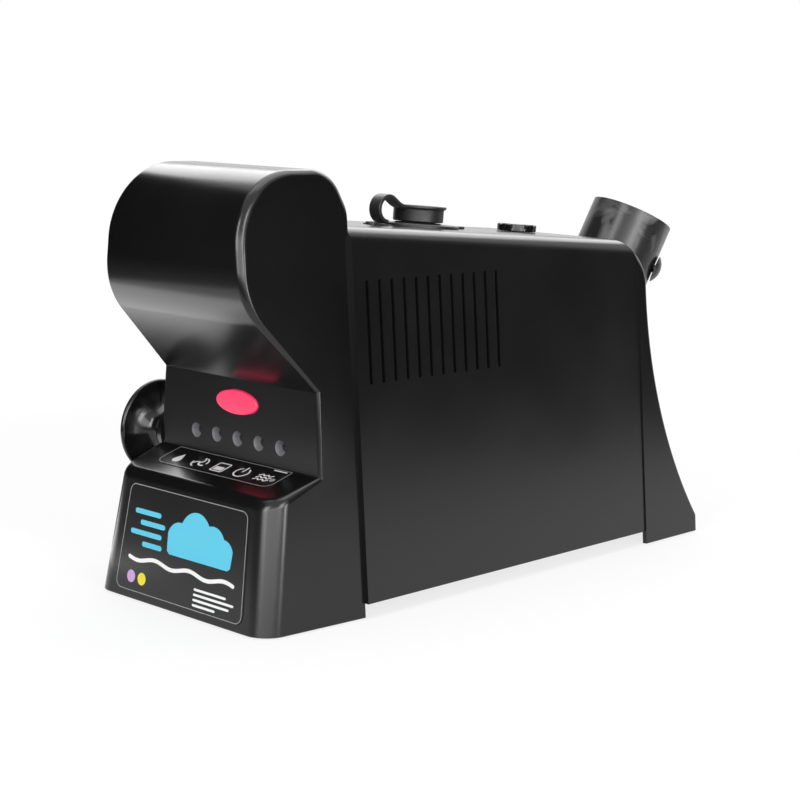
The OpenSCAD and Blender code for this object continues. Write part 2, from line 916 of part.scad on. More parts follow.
module hose_screw() {
    // thumb screw with a domed head; its point presses on a hose pushed into the tube
    lift = 0.9;
    dome_r = 11.6;
    color([0.07, 0.07, 0.075])
        tube_frame()
            hose_screw_frame()
                union() {
                    translate([0, 0, -tube_wall + 0.2])
                        cylinder(d = hose_thread_d, h = tube_wall + 1);
                    translate([0, 0, lift])
                        intersection() {
                            cylinder(d = knob_d, h = knob_out - lift);
                            translate([0, 0, knob_out - lift - dome_r])
                                sphere(r = dome_r);
                        }
                }
}
module outlet_collar() {
    // fixed ring screwed to the back of the stand round the elbow stub
    color([0.05, 0.05, 0.055])
        difference() {
            rod_y(collar_d, rear_y + 0.02, rear_y + collar_t, 0, outlet_z);
            rod_y(tube_d + 1.2, rear_y - 1, rear_y + collar_t + 1, 0, outlet_z);
            for (a = [45:90:315])
                rod_y(collar_screw_d + 0.5, rear_y - 1, rear_y + 6, collar_x(a), collar_z(a));
        }
}
module collar_screws() {
    color([0.55, 0.55, 0.57])
        for (a = [45:90:315])
            union() {
                rod_y(collar_screw_d, rear_y - 2, rear_y + collar_t, collar_x(a), collar_z(a));
                rod_y(2 * collar_screw_d, rear_y + collar_t, rear_y + collar_t + 1.8, collar_x(a), collar_z(a));
            }
}

// ---------- top fittings ----------
module on_top(y) {
    // frame on the sloping top, Z along its normal
    translate([0, y, top_z(y)])
        rotate([-top_fall, 0, 0])
            children();
}
module filler_flange() {
    // ring with a rear tab, seated on the case top round the filler hole
    tab = 19;
    color([0.06, 0.06, 0.065])
        on_top(filler_y)
            difference() {
                union() {
                    translate([0, 0, 0.02])
                        cylinder(d = flange_d, h = flange_t);
                    translate([-5, 0, 0.02])
                        cube([10, flange_d / 2 + tab - 5, flange_t * 0.7]);
                    translate([0, flange_d / 2 + tab - 5, 0.02])
                        cylinder(d = 10, h = flange_t * 0.7);
                    translate([0, 0, 0.02])
                        cylinder(d = cap_d - 2, h = flange_t + 0.6);
                }
                translate([0, 0, -1])
                    cylinder(d = filler_bore_d + 1, h = 10);
            }
}
module filler_cap() {
    // rubber bung: lid with lip, body, tapering plug, and the strap loop moulded to its front
    lid_d = cap_d + 2.6;
    lid_t = 1.6;
    plug = 4.5;
    color([0.05, 0.05, 0.052])
        difference() {
            union() {
                on_top(filler_y)
                    union() {
                        translate([0, 0, flange_t + 1])
                            cylinder(d = cap_d, h = body_h - 0.3);
                        translate([0, 0, flange_t + body_h - 0.3])
                            cylinder(d = lid_d, h = lid_t);
                        translate([0, 0, flange_t + 1 - plug - 1])
                            cylinder(d1 = 12, d2 = filler_bore_d - 1.6, h = plug + 1);
                    }
                translate([0, strap_y, strap_z])
                    rotate([90, 0, 90])
                        linear_extrude(strap_w, center = true)
                            difference() {
                                circle(strap_r);
                                circle(strap_r - strap_t);
                                polygon([[0, 0], [-1, -20], [25, -20], [25, -1]]);
                            }
                on_top(filler_y)
                    translate([-strap_w / 2, -cap_d / 2 - 6.4, flange_t + body_h - 1.2])
                        cube([strap_w, 9, strap_t]);
            }
            on_top(filler_y)
                translate([0, 0, flange_t + 1 - plug - 2])
                    cylinder(d = 8, h = plug + 3);
        }
}
module strap_stud() {
    // button stud on the case top in front of the filler, which the strap clips to
    color([0.05, 0.05, 0.052])
        on_top(strap_y - 9.5)
            translate([0, 0, 0.02])
                cylinder(d = 7, h = 1.6);
}
module vent_cap() {
    // low round cap with a notched rim
    cap_h = 4.4;
    notch = 3;
    stem_slack = 0.8;
    color([0.05, 0.05, 0.055])
        on_top(vent_y)
            difference() {
                union() {
                    translate([0, 0, fit])
                        cylinder(d = vent_d, h = cap_h - fit);
                    translate([0, 0, -7])
                        cylinder(d = vent_tube_d - 3 - 2 * stem_slack, h = 8);
                }
                for (a = [0:30:150])
                    rotate([0, 0, a])
                        for (s = [-1, 1])
                            translate([s * vent_d / 2, 0, cap_h - 2.4])
                                translate([-1.6, -notch / 2, 0])
                                    cube([3.2, notch, 4]);
                translate([0, 0, cap_h - 1.4])
                    cylinder(d = vent_d - 8, h = 3);
            }
}

// ---------- mist system ----------
module water_tank() {
    t = tank_t;
    color([0.82, 0.85, 0.86])
        difference() {
            block(-tank_half, tank_y0, tank_z0, tank_half, tank_y1, tank_z1);
            block(-tank_half + t, tank_y0 + t, tank_z0 + t, tank_half - t, tank_y1 - t, tank_z1 + 1);
            rod_y(port_d, tank_y0 - 5, tank_y0 + 5, 0, outlet_z);
            rod_y(2 * bore_r, tank_y1 - 5, tank_y1 + 5, 0, outlet_z);
        }
}
module tank_rails() {
    // pair of rails on the tray under the tank
    rail_w = 8;
    rail_in = 9;
    end_in = 6;
    color([0.05, 0.05, 0.055])
        for (s = [0, 1])
            mirror([s, 0, 0])
                block(tank_half - rail_in - rail_w, tank_y0 + end_in, case_low_z,
                    tank_half - rail_in, tank_y1 - end_in, tank_z0);
}
module tank_lid() {
    t = tank_t;
    lid_z = tank_z1 + 1;
    filler_top = top_z(filler_y) - wall + 1.4;
    vent_top = top_z(vent_y) - wall + 0.6;
    color([0.8, 0.83, 0.84])
        difference() {
            union() {
                block(-tank_half, tank_y0, lid_z, tank_half, tank_y1, lid_z + t);
                rod_z(filler_tube_d, lid_z, filler_top, 0, filler_y);
                rod_z(vent_tube_d, lid_z, vent_top, 0, vent_y);
            }
            rod_z(filler_bore_d, lid_z - 1, filler_top + 5, 0, filler_y);
            rod_z(vent_tube_d - 3, lid_z - 1, vent_top + 5, 0, vent_y);
        }
}
module lid_seal() {
    t = tank_t;
    color([0.12, 0.12, 0.12])
        difference() {
            block(-tank_half, tank_y0, tank_z1, tank_half, tank_y1, tank_z1 + 1);
            block(-tank_half + t, tank_y0 + t, tank_z1 - 1, tank_half - t, tank_y1 - t, tank_z1 + 2);
        }
}
module mist_head() {
    // sealed body of the ultrasonic generator standing in the water
    color([0.75, 0.75, 0.77])
        difference() {
            rod_z(46, tank_z0 + tank_t, disc_z + 3.5, 0, mist_y);
            rod_z(24, disc_z, disc_z + 10, 0, mist_y);
        }
}
module mist_disc() {
    color([0.85, 0.75, 0.4])
        rod_z(20, disc_z, disc_z + 1.2, 0, mist_y);
}
module disc_clamp() {
    color([0.7, 0.7, 0.72])
        difference() {
            rod_z(30, disc_z + 3.5, disc_z + 6, 0, mist_y);
            rod_z(18, disc_z, disc_z + 10, 0, mist_y);
        }
}
module float_stem() {
    // level sensor: stem with a foot and a clip ring that stops the float
    color([0.85, 0.85, 0.86])
        union() {
            rod_z(16, tank_z0 + tank_t, float_low_z - 1.5, 0, float_y);
            rod_z(float_stem_d, float_low_z - 1.5, float_clip_z + 2, 0, float_y);
            rod_z(11, float_clip_z, float_clip_z + 2, 0, float_y);
        }
}
module level_float() {
    color([0.9, 0.9, 0.88])
        difference() {
            rod_z(20, float_low_z, float_low_z + float_h, 0, float_y);
            rod_z(float_stem_d + 2 * shaft_fit, float_low_z - 1, float_low_z + float_h + 4, 0, float_y);
        }
}
module fan_frame() {
    // square frame, round throat and three struts to the motor boss
    motor_d = 24;
    color([0.08, 0.08, 0.085])
        difference() {
            union() {
                difference() {
                    block(-fan_half, fan_y, outlet_z - fan_half,
                        fan_half, fan_y + fan_t, outlet_z + fan_half);
                    rod_y(2 * fan_half - 3, fan_y - 1, fan_y + fan_t + 1, 0, outlet_z);
                }
                rod_y(motor_d, fan_y + fan_t - 3, fan_y + fan_t, 0, outlet_z);
                for (a = [20:120:260])
                    translate([0, fan_y + fan_t - 2.8, outlet_z])
                        rotate([0, a, 0])
                            translate([motor_d / 2 - 1, 0, -2])
                                cube([fan_half - motor_d / 2, 2.6, 4]);
            }
            for (x = [-fan_hole, fan_hole])
                for (z = [-fan_hole, fan_hole])
                    rod_y(4.3, fan_y - 1, fan_y + fan_t + 1, x, outlet_z + z);
            rod_y(spindle_d, fan_y, fan_y + fan_t + 1, 0, outlet_z);
        }
}
module fan_spindle() {
    color([0.72, 0.72, 0.74])
        rod_y(spindle_d, fan_y + 4, fan_y + fan_t, 0, outlet_z);
}
module fan_rotor() {
    // cup hub with seven pitched blades
    blades = 7;
    pitch = 38;
    hub_d = 22;
    hub_y0 = fan_y + 2;
    hub_y1 = fan_y + fan_t - 4;
    color([0.1, 0.1, 0.105])
        difference() {
            union() {
                rod_y(hub_d, hub_y0, hub_y1, 0, outlet_z);
                intersection() {
                    rod_y(2 * fan_half - 6, hub_y0 + 1, hub_y1 - 1, 0, outlet_z);
                    for (i = [0:blades - 1])
                        translate([0, (hub_y0 + hub_y1) / 2, outlet_z])
                            rotate([0, i * 360 / blades, 0])
                                translate([hub_d / 2 - 1.5, 0, 0])
                                    rotate([pitch, 0, 0])
                                        translate([0, -9, -0.8])
                                            cube([fan_half, 18, 1.6]);
                }
            }
            rod_y(spindle_d + 2 * shaft_fit, hub_y0 + 1.6, hub_y1 + 5, 0, outlet_z);
        }
}
module fan_seal() {
    color([0.12, 0.12, 0.12])
        difference() {
            block(-fan_half, fan_y + fan_t, outlet_z - fan_half, fan_half, tank_y0, tank_z1 - 0.5);
            rod_y(port_d, fan_y, tank_y0 + 5, 0, outlet_z);
        }
}
module mist_duct() {
    // straight pipe from the tank's rear port to the stub of the elbow
    color([0.82, 0.85, 0.86])
        difference() {
            union() {
                rod_y(tube_d, tank_y1, case_len + stub_start - fit - 0.4, 0, outlet_z);
                rod_y(tube_d + 12, tank_y1, tank_y1 + 3, 0, outlet_z);
            }
            rod_y(2 * bore_r, tank_y1 - 5, case_len + 20, 0, outlet_z);
        }
}
module filter_pads() {
    // foam strips inside the slotted sides
    low = slot_low_z - 5;
    high = slot_high_z + filter_over;
    pad = filter_t;
    color([0.16, 0.16, 0.17])
        for (s = [0, 1])
            mirror([s, 0, 0])
                rotate([90, 0, 0])
                    translate([0, 0, -(slot_start + slot_n * slot_pitch)])
                        linear_extrude(slot_start + slot_n * slot_pitch - 5)
                            polygon([
                                [case_half(low) - wall - 0.1 - pad, low],
                                [case_half(low) - wall - 0.1, low],
                                [case_half(high) - wall - 0.1, high],
                                [case_half(high) - wall - 0.1 - pad, high]
                            ]);
}
module driver_board() {
    color([0.05, 0.28, 0.15])
        difference() {
            block(-driver_post_x - driver_edge, driver_y, driver_low_z - driver_edge,
                driver_post_x + driver_edge, driver_face, driver_high_z + driver_edge);
            for (x = [-driver_post_x, driver_post_x])
                for (z = [driver_low_z, driver_high_z])
                    rod_y(3.2, driver_y - 1, driver_y + 5, x, z);
        }
}
module driver_posts() {
    color([0.75, 0.75, 0.77])
        for (x = [-driver_post_x, driver_post_x])
            for (z = [driver_low_z, driver_high_z])
                rod_y(driver_post_d, bulkhead_t, driver_y, x, z);
}
module driver_parts() {
    // tall parts soldered to the driver board: three capacitors and a coil
    cap_d = 13;
    cap_x = -28;
    cap_low_z = 48;
    cap_pitch = 18;
    coil = [-8, 40, 14, 62];
    coil_h = 12;
    color([0.2, 0.2, 0.22])
        union() {
            for (i = [0:2])
                rod_y(cap_d, driver_face, driver_face + tall_part_h, cap_x, cap_low_z + i * cap_pitch);
            block(coil[0], driver_face, coil[1], coil[2], driver_face + coil_h, coil[3]);
        }
}
module heat_sink() {
    fins = 5;
    fin_t = 1.6;
    fin_pitch = 4.6;
    base_t = 3;
    sink = [20, 40, 40, 92];
    color([0.7, 0.72, 0.74])
        union() {
            block(sink[0], driver_face, sink[1], sink[2], driver_face + base_t, sink[3]);
            for (i = [0:fins - 1])
                block(sink[0] + i * fin_pitch, driver_face + base_t, sink[1],
                    sink[0] + i * fin_pitch + fin_t, driver_face + tall_part_h, sink[3]);
        }
}

place() front_housing();
place() legend_overlay();
place() front_label();
place() start_button();
place() status_lamps();
place() control_board();
place() press_switch();
place() board_posts();
place() board_screws();
place() cord_spool();
place() spool_screw();
place() power_inlet();
place() bulkhead();
place() case_cover();
place() base_tray();
place() rear_stand();
place() stand_screws();
place() rubber_feet();
place() outlet_stub();
place() outlet_elbow();
place() nozzle_tube();
place() hose_screw();
place() outlet_collar();
place() collar_screws();
place() filler_flange();
place() filler_cap();
place() strap_stud();
place() vent_cap();
place() water_tank();
place() tank_rails();
place() tank_lid();
place() lid_seal();
place() mist_head();
place() mist_disc();
place() disc_clamp();
place() float_stem();
place() level_float();
place() fan_frame();
place() fan_spindle();
place() fan_rotor();
place() fan_seal();
place() mist_duct();
place() filter_pads();
place() driver_board();
place() driver_posts();
place() driver_parts();
place() heat_sink();
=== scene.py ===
import math

import bmesh
import bpy
import numpy as np
from mathutils import Matrix, Vector
from mathutils.geometry import delaunay_2d_cdt


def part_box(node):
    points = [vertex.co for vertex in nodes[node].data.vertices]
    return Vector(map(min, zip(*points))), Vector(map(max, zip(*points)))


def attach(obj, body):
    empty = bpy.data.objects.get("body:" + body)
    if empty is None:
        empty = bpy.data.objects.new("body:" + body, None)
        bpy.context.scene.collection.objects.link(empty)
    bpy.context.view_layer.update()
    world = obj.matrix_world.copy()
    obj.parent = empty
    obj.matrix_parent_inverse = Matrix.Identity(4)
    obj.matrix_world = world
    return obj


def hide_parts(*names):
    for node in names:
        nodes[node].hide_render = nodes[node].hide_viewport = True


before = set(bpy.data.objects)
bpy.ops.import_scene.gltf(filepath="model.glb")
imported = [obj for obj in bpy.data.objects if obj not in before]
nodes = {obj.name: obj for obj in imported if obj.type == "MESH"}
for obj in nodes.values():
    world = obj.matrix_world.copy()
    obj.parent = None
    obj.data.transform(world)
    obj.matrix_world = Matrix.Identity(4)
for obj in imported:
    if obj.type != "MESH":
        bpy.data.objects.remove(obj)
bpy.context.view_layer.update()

# ---------- where the machine stands ----------
# The case seam and the middle of the case give the machine's own axes: x across, y from the seam
# to the outlet, z up, all in millimetres. seat() turns such points into metres in the row frame.
case_low, case_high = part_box("case_cover")
seam_y = case_low.y * 1000
mid_x = (case_low.x + case_high.x) * 500


def seat(points):
    """Machine millimetres (x, y, z) to metres in the row frame: add the seam's place, divide by 1000."""
    return (np.asarray(points, float).reshape(-1, 3) + [mid_x, seam_y, 0]) / 1000


# ---------- camera, floor and light ----------
# A plain pale floor under a white surround, as in a product studio: soft lamps either side of the camera,
# one overhead, panels that only gloss picks up and that draw the lines on the rounded edges, and graded
# dark cards that keep the reflections in the black sides and under the chin low.
camera = bpy.data.objects.new("camera", bpy.data.cameras.new("camera"))
bpy.context.collection.objects.link(camera)
camera.data.lens = 81.58
camera.data.sensor_width = 36
camera.data.clip_end = 20
camera.matrix_world = Matrix((
    (0.72802, -0.13432, 0.67227, 0.68442),
    (0.68501, 0.10327, -0.72118, -0.75757),
    (0.02744, 0.98554, 0.1672, 0.26176),
    (0, 0, 0, 1)))
bpy.context.scene.camera = camera
bpy.context.scene.view_settings.view_transform = "Standard"


def new_material(name, **sockets):
    """A Principled material with its constant inputs set on the shader's own sockets, together with its
    tree, its shader and the output of its object coordinates."""
    m = bpy.data.materials.new(name)
    m.use_nodes = True
    shader = m.node_tree.nodes["Principled BSDF"]
    for key, value in sockets.items():
        shader.inputs[key.replace("_", " ")].default_value = value
    return m, m.node_tree, shader, m.node_tree.nodes.new("ShaderNodeTexCoord").outputs["Object"]


def add_node(tree, kind, sockets, **settings):
    """A new shader node with its settings. Each named socket gets a constant, or a link from an output."""
    node = tree.nodes.new("ShaderNode" + kind)
    for key, value in settings.items():
        setattr(node, key, value)
    for key, value in sockets.items():
        if isinstance(value, bpy.types.NodeSocket):
            tree.links.new(value, node.inputs[key])
        else:
            node.inputs[key].default_value = value
    return node


def highest(tree, *values):
    """The highest of several values."""
    top = values[0]
    for value in values[1:]:
        top = add_node(tree, "Math", {0: top, 1: value}, operation="MAXIMUM").outputs[0]
    return top


def mapped(tree, value, low, high, start=0.0, end=1.0):
    """low + (high - low) (value - start) / (end - start), held at low and high beyond start and end."""
    return add_node(tree, "MapRange", {
        "Value": value, "From Min": start, "From Max": end, "To Min": low, "To Max": high}).outputs["Result"]


def new_object(name, data):
    """An object of its own for the data, in the scene."""
    obj = bpy.data.objects.new(name, data)
    bpy.context.collection.objects.link(obj)
    return obj


def one_face(name, corners, paint):
    """A stage piece of one face."""
    mesh = bpy.data.meshes.new(name)
    mesh.from_pydata(corners, [], [(0, 1, 2, 3)])
    mesh.materials.append(paint)
    piece = new_object(name, mesh)
    return piece


floor_paint, tree, shader, place = new_material("floor_paint", Base_Color=(0.9, 0.9, 0.9, 1), Roughness=0.8)
rays = add_node(tree, "LightPath", {}).outputs
far = add_node(tree, "VectorMath", {0: place}, operation="LENGTH").outputs["Value"]
fade = mapped(tree, far, low=0.78, high=1.0, start=0.25, end=0.8)
seen = highest(tree, rays["Is Camera Ray"], rays["Is Glossy Ray"])
share = add_node(tree, "Math", {0: seen, 1: fade}, operation="MULTIPLY").outputs[0]
glow = add_node(tree, "Emission", {"Strength": 1.0}).outputs[0]
both = add_node(tree, "MixShader", {0: share, 1: shader.outputs[0], 2: glow})
tree.links.new(both.outputs[0], tree.nodes["Material Output"].inputs["Surface"])
one_face("floor", [(-6, -6, 0), (6, -6, 0), (6, 6, 0), (-6, 6, 0)], floor_paint)

world = bpy.data.worlds.new("surround")
bpy.context.scene.world = world
world.use_nodes = True
sky = world.node_tree
plain = sky.nodes["Background"]
plain.inputs["Color"].default_value = (1, 1, 1, 1)
plain.inputs["Strength"].default_value = 0.45
white = add_node(sky, "Background", {"Color": (1, 1, 1, 1), "Strength": 1.0})
rays = add_node(sky, "LightPath", {}).outputs
seen = highest(sky, rays["Is Camera Ray"], rays["Is Glossy Ray"], rays["Is Transmission Ray"])
both = add_node(sky, "MixShader", {0: seen, 1: plain.outputs[0], 2: white.outputs[0]})
sky.links.new(both.outputs[0], sky.nodes["World Output"].inputs["Surface"])


def stand_facing(obj, bearing, lift, distance, aim=(0, 0, 0.1)):
    """Puts obj at a bearing (degrees, 0 towards -Y, 90 towards +X) and lift round aim, its -Z facing aim."""
    a, e = math.radians(bearing), math.radians(lift)
    way = Vector((math.sin(a) * math.cos(e), -math.cos(a) * math.cos(e), math.sin(e)))
    obj.location = Vector(aim) + way * distance
    obj.rotation_euler = way.to_track_quat("Z", "Y").to_euler()


def area_lamp(name, wide, high, watts):
    """A rectangular lamp that the camera doesn't see."""
    lamp = new_object(name, bpy.data.lights.new(name, "AREA"))
    lamp.data.shape = "RECTANGLE"
    lamp.data.size, lamp.data.size_y, lamp.data.energy = wide, high, watts
    lamp.visible_camera = False
    return lamp


for name, bearing, lift, distance, wide, high, watts, gloss_only in (
        ("lamp_left", 12, 20, 1.9, 0.5, 1.2, 15, False), ("lamp_right", 74, 20, 1.9, 0.5, 1.2, 15, False),
        ("lamp_over", 200, 80, 1.7, 1.6, 1.6, 18, False),
        ("panel_front", 42, 10, 2.2, 2.2, 0.8, 19, True), ("strip_right", 93, 2, 1.3, 0.2, 0.4, 3.2, True),
        ("strip_back", -140, 38, 1.7, 2.0, 0.8, 16, True)):
    lamp = area_lamp(name, wide, high, watts)
    stand_facing(lamp, bearing, lift, distance)
    lamp.visible_diffuse = not gloss_only

low_lamp = area_lamp("lamp_low", 0.3, 0.16, 0.25)
low_lamp.matrix_world = Matrix.Translation((-0.28, -0.23, 0.004)) @ Matrix.Rotation(math.pi, 4, "X")
low_lamp.visible_diffuse = False


def graded_card(name, corners, low_glow, high_glow, fade_to):
    """A card given by its four corners that only gloss sees: its glow goes evenly from low_glow at the
    floor to high_glow at the height fade_to."""
    paint, tree, shader, place = new_material(name)
    tree.nodes.remove(shader)
    height = add_node(tree, "SeparateXYZ", {0: place}).outputs["Z"]
    glow = add_node(tree, "Emission", {"Strength": mapped(tree, height, low_glow, high_glow, 0, fade_to)})
    tree.links.new(glow.outputs[0], tree.nodes["Material Output"].inputs["Surface"])
    card = one_face(name, corners, paint)
    card.visible_camera = card.visible_diffuse = card.visible_shadow = card.visible_transmission = False


for name, glows, corners in (
        ("left", (0.25, 0.0, 0.15),
         [(-0.75, 0.1, 0.002), (0.05, -0.75, 0.002), (0.05, -0.75, 0.7), (-0.75, 0.1, 0.7)]),
        ("right", (0.3, 0.03, 0.1),
         [(0.9, 0.09, 0.002), (0.42, 0.82, 0.002), (0.42, 0.82, 1.0), (0.9, 0.09, 1.0)]),
        ("side", (0.03, 0.03, 1),
         [(-0.5, -0.145, 0.003), (-0.09, -0.145, 0.003), (-0.09, 0.3, 0.003), (-0.5, 0.3, 0.003)]),
        ("front", (0.12, 0.12, 1),
         [(-0.1, -0.55, 0.002), (0.5, -0.35, 0.002), (1.3, -1.3, 0.002), (-0.3, -1.9, 0.002)])):
    graded_card("card_" + name, corners, *glows)

# ---------- front housing ----------
# One moulding in satin black plastic: the base with rounded upright corners, the tower with the
# control panel, and the head whose drum overhangs the panel. Walls are 2.6 mm. Both flanks lean in
# with height and close in towards the front, the base more than the head.
flank_foot = 70.0
flank_lean = math.tan(math.radians(5.64))
base_taper, head_taper = math.tan(math.radians(4.1)), math.tan(math.radians(0.9))
taper_low, taper_rise = 66.5, 52.5
front_lean = math.tan(math.radians(8.0))
front_foot = -65.7
floor_gap = 0.8
panel_y = -25.5
crease_z = 116.0
edge_r, under_edge_r, tower_edge = 4.5, 2.7, 2.0
corner_r = 12.0
shelf_z, shelf_y, shelf_rise = 66.5, -52.35, math.tan(math.radians(16.59))
chin_mid, chin_r = (-31.0, 178.07), 40.0
drum_mid, drum_r = (-33.5, 186.5), 37.5
crown_mid, crown_r, crown_last = (-20.0, 204.0), 20.0, math.radians(28.07)
back_top_z = 209.0
round_steps = 10


def flank_x(y, z):
    """Half width of the tower at (y, z): foot half width - z lean + y taper, where the taper goes from the
    base's to the head's with a share of s^2 (3 - 2 s), s running 0 to 1 between their heights."""
    s = np.clip((z - taper_low) / taper_rise, 0, 1)
    return flank_foot - z * flank_lean + y * (base_taper + (head_taper - base_taper) * s * s * (3 - 2 * s))


def flank_normals(points):
    """Outward normals of the flank surface x = flank_x(y, z), from its slopes along y and z."""
    y, z = points[:, 1], points[:, 2]
    s = np.clip((z - taper_low) / taper_rise, 0, 1)
    slope_y = base_taper + (head_taper - base_taper) * s * s * (3 - 2 * s)
    slope_z = y * (head_taper - base_taper) * 6 * s * (1 - s) / taper_rise - flank_lean
    normal = np.stack([np.ones(len(points)), -slope_y, -slope_z], 1)
    return normal / np.linalg.norm(normal, axis=1)[:, None]


def shelf_at(y):
    """Height of the sloping legend shelf at y."""
    return shelf_z + (y - shelf_y) * shelf_rise


def base_front(z):
    """The y of the leaning base front at height z."""
    return front_foot + z * front_lean


def strip_faces(rows, cols):
    """Quads of a rows x cols grid of points stored row by row."""
    i, j = np.meshgrid(np.arange(rows - 1), np.arange(cols - 1), indexing="ij")
    a = (i * cols + j).ravel()
    return np.stack([a, a + 1, a + cols + 1, a + cols], 1).tolist()


def patch(points):
    """A grid of points (rows, cols, 3) as a patch: flat points, quads and no normals of its own."""
    rows, cols = points.shape[:2]
    return points.reshape(-1, 3), strip_faces(rows, cols), None


def smooth_patch(points):
    """A patch with the normals of its surface: the cross product of the slopes along rows and columns."""
    rows, cols = points.shape[:2]
    slopes = [np.gradient(points, axis=k, edge_order=min(2, points.shape[k] - 1)) for k in (0, 1)]
    normal = np.cross(*slopes).reshape(-1, 3)
    normal /= np.maximum(np.linalg.norm(normal, axis=1), 1e-12)[:, None]
    return points.reshape(-1, 3), strip_faces(rows, cols), normal


def mirrored(piece):
    """The same patch on the other side of the machine: x changes sign."""
    points, faces, normal = piece
    return points * [-1, 1, 1], [f[::-1] for f in faces], None if normal is None else normal * [-1, 1, 1]


def across(line):
    """The ruled surface from a line on one side of the machine straight to its mirror image."""
    return smooth_patch(np.stack([line, line * [-1, 1, 1]]))


def whole_rim(half):
    """Closed outline of half an outline and its mirror image."""
    return np.concatenate([half, half[::-1] * np.array([-1, 1, 1])[:half.shape[1]]])


def upright(y):
    """Lifts flat (x, z) points onto the upright plane at y."""
    return lambda p: np.column_stack([p[:, 0], np.full(len(p), y), p[:, 1]])


def inside(outline, p):
    """Even-odd test of points p against a closed 2-D outline."""
    a, b = outline, np.roll(outline, -1, 0)
    cross = (a[None, :, 1] > p[:, None, 1]) != (b[None, :, 1] > p[:, None, 1])
    with np.errstate(divide="ignore", invalid="ignore"):
        at = a[None, :, 0] + (p[:, None, 1] - a[None, :, 1]) / (b - a)[None, :, 1] * (b - a)[None, :, 0]
    return (cross & (p[:, None, 0] < at)).sum(1) % 2 == 1


def flat_sheet(outline, holes, lift, inner=()):
    """A flat sheet inside a 2-D outline with holes cut out; lift turns its (n, 2) points into 3-D ones
    and inner adds points of its own. Slivers lower than 0.002 mm, on straight runs, are left out."""
    loops = [np.asarray(o, float) for o in [outline, *holes]]
    verts, edges, at = [], [], 0
    for loop in loops:
        verts += [Vector(v) for v in loop]
        edges += [(at + k, at + (k + 1) % len(loop)) for k in range(len(loop))]
        at += len(loop)
    verts += [Vector(v) for v in inner]
    flat, _, faces, _, _, _ = delaunay_2d_cdt(verts, edges, [], 0, 1e-6)
    flat = np.array([tuple(v) for v in flat])
    middle = np.array([flat[list(f)].mean(0) for f in faces])
    keep = inside(loops[0], middle)
    for hole in loops[1:]:
        keep &= ~inside(hole, middle)
    side = flat[np.array(faces)] - flat[np.roll(np.array(faces), 1, 1)]
    area = np.abs(side[:, 0, 0] * side[:, 1, 1] - side[:, 0, 1] * side[:, 1, 0])
    keep &= area / np.linalg.norm(side, axis=2).max(1) > 0.002
    points, faces = lift(flat), [list(f) for f, k in zip(faces, keep) if k]
    corner = points[np.array(faces)]
    cross = np.cross(corner[:, 1] - corner[:, 0], corner[:, 2] - corner[:, 0])
    normal = cross[np.argmax(np.linalg.norm(cross, axis=1))]
    return points, faces, np.tile(normal / np.linalg.norm(normal), (len(points), 1))


def ellipse(x, z, wide, high, n=48):
    """Closed outline of an ellipse of the given full width and height."""
    a = np.linspace(0, 2 * np.pi, n, endpoint=False)
    return np.stack([x + wide / 2 * np.cos(a), z + high / 2 * np.sin(a)], 1)


def read(items, key, wide, kind=float):
    """One property of all the items of a mesh as an array with so many columns."""
    values = np.zeros(len(items) * wide, kind)
    items.foreach_get(key, values)
    return values.reshape(-1, wide)


def weld(name, patches, material, body, replaced=(), wall=0.0, sharp=32):
    """Joins patches into one mesh: merges shared edges, turns faces outwards, gives the wall its
    thickness inwards, shades it with the patches' own normals, and seats it on its body."""
    points, faces, normals, at = [], [], [], 0
    for p, f, n in patches:
        points.append(seat(p))
        faces += [[k + at for k in g] for g in f]
        normals.append(np.zeros((len(p), 3)) if n is None else n)
        at += len(points[-1])
    mesh = bpy.data.meshes.new(name)
    mesh.from_pydata(np.concatenate(points), [], faces)
    corner_at = read(mesh.loops, "vertex_index", 1, int)[:, 0]
    own = mesh.attributes.new("own_normal", "FLOAT_VECTOR", "CORNER")
    own.data.foreach_set("vector", np.concatenate(normals)[corner_at].ravel())
    work = bmesh.new()
    work.from_mesh(mesh)
    bmesh.ops.remove_doubles(work, verts=work.verts, dist=4e-6)
    bmesh.ops.dissolve_degenerate(work, edges=work.edges, dist=1e-7)
    bmesh.ops.recalc_face_normals(work, faces=work.faces)
    work.to_mesh(mesh)
    work.free()
    piece = new_object(name, mesh)
    if wall:
        thick = piece.modifiers.new("wall", "SOLIDIFY")
        thick.thickness, thick.offset = wall / 1000, -1
        thick.use_even_offset = True
        bpy.context.view_layer.update()
        solid = bpy.data.meshes.new_from_object(piece.evaluated_get(bpy.context.evaluated_depsgraph_get()))
        piece.modifiers.clear()
        piece.data = solid
        bpy.data.meshes.remove(mesh)
        solid.name = name
        mesh = solid
    mesh.polygons.foreach_set("use_smooth", np.ones(len(mesh.polygons), bool))
    mesh.set_sharp_from_angle(angle=math.radians(sharp))
    own = read(mesh.attributes["own_normal"].data, "vector", 3)
    sides = read(mesh.polygons, "loop_total", 1, int)[:, 0]
    agree = (own * np.repeat(read(mesh.polygons, "normal", 3), sides, axis=0)).sum(1)
    own *= np.where(np.abs(agree) > 0.7, np.sign(agree), 0)[:, None]
    mesh.attributes.remove(mesh.attributes["own_normal"])
    if own.any():
        mesh.normals_split_custom_set(own.tolist())
    else:
        even = piece.modifiers.new("even_light", "WEIGHTED_NORMAL")
        even.keep_sharp = True
    mesh.materials.clear()
    mesh.materials.append(material)
    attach(piece, body)
    if replaced:
        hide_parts(*replaced)
    return piece


def noise(tree, place, scale, detail=2, **more):
    """The value of a noise texture at place."""
    sockets = {"Vector": place, "Scale": scale, "Detail": detail, **more}
    return add_node(tree, "TexNoise", sockets).outputs["Fac"]


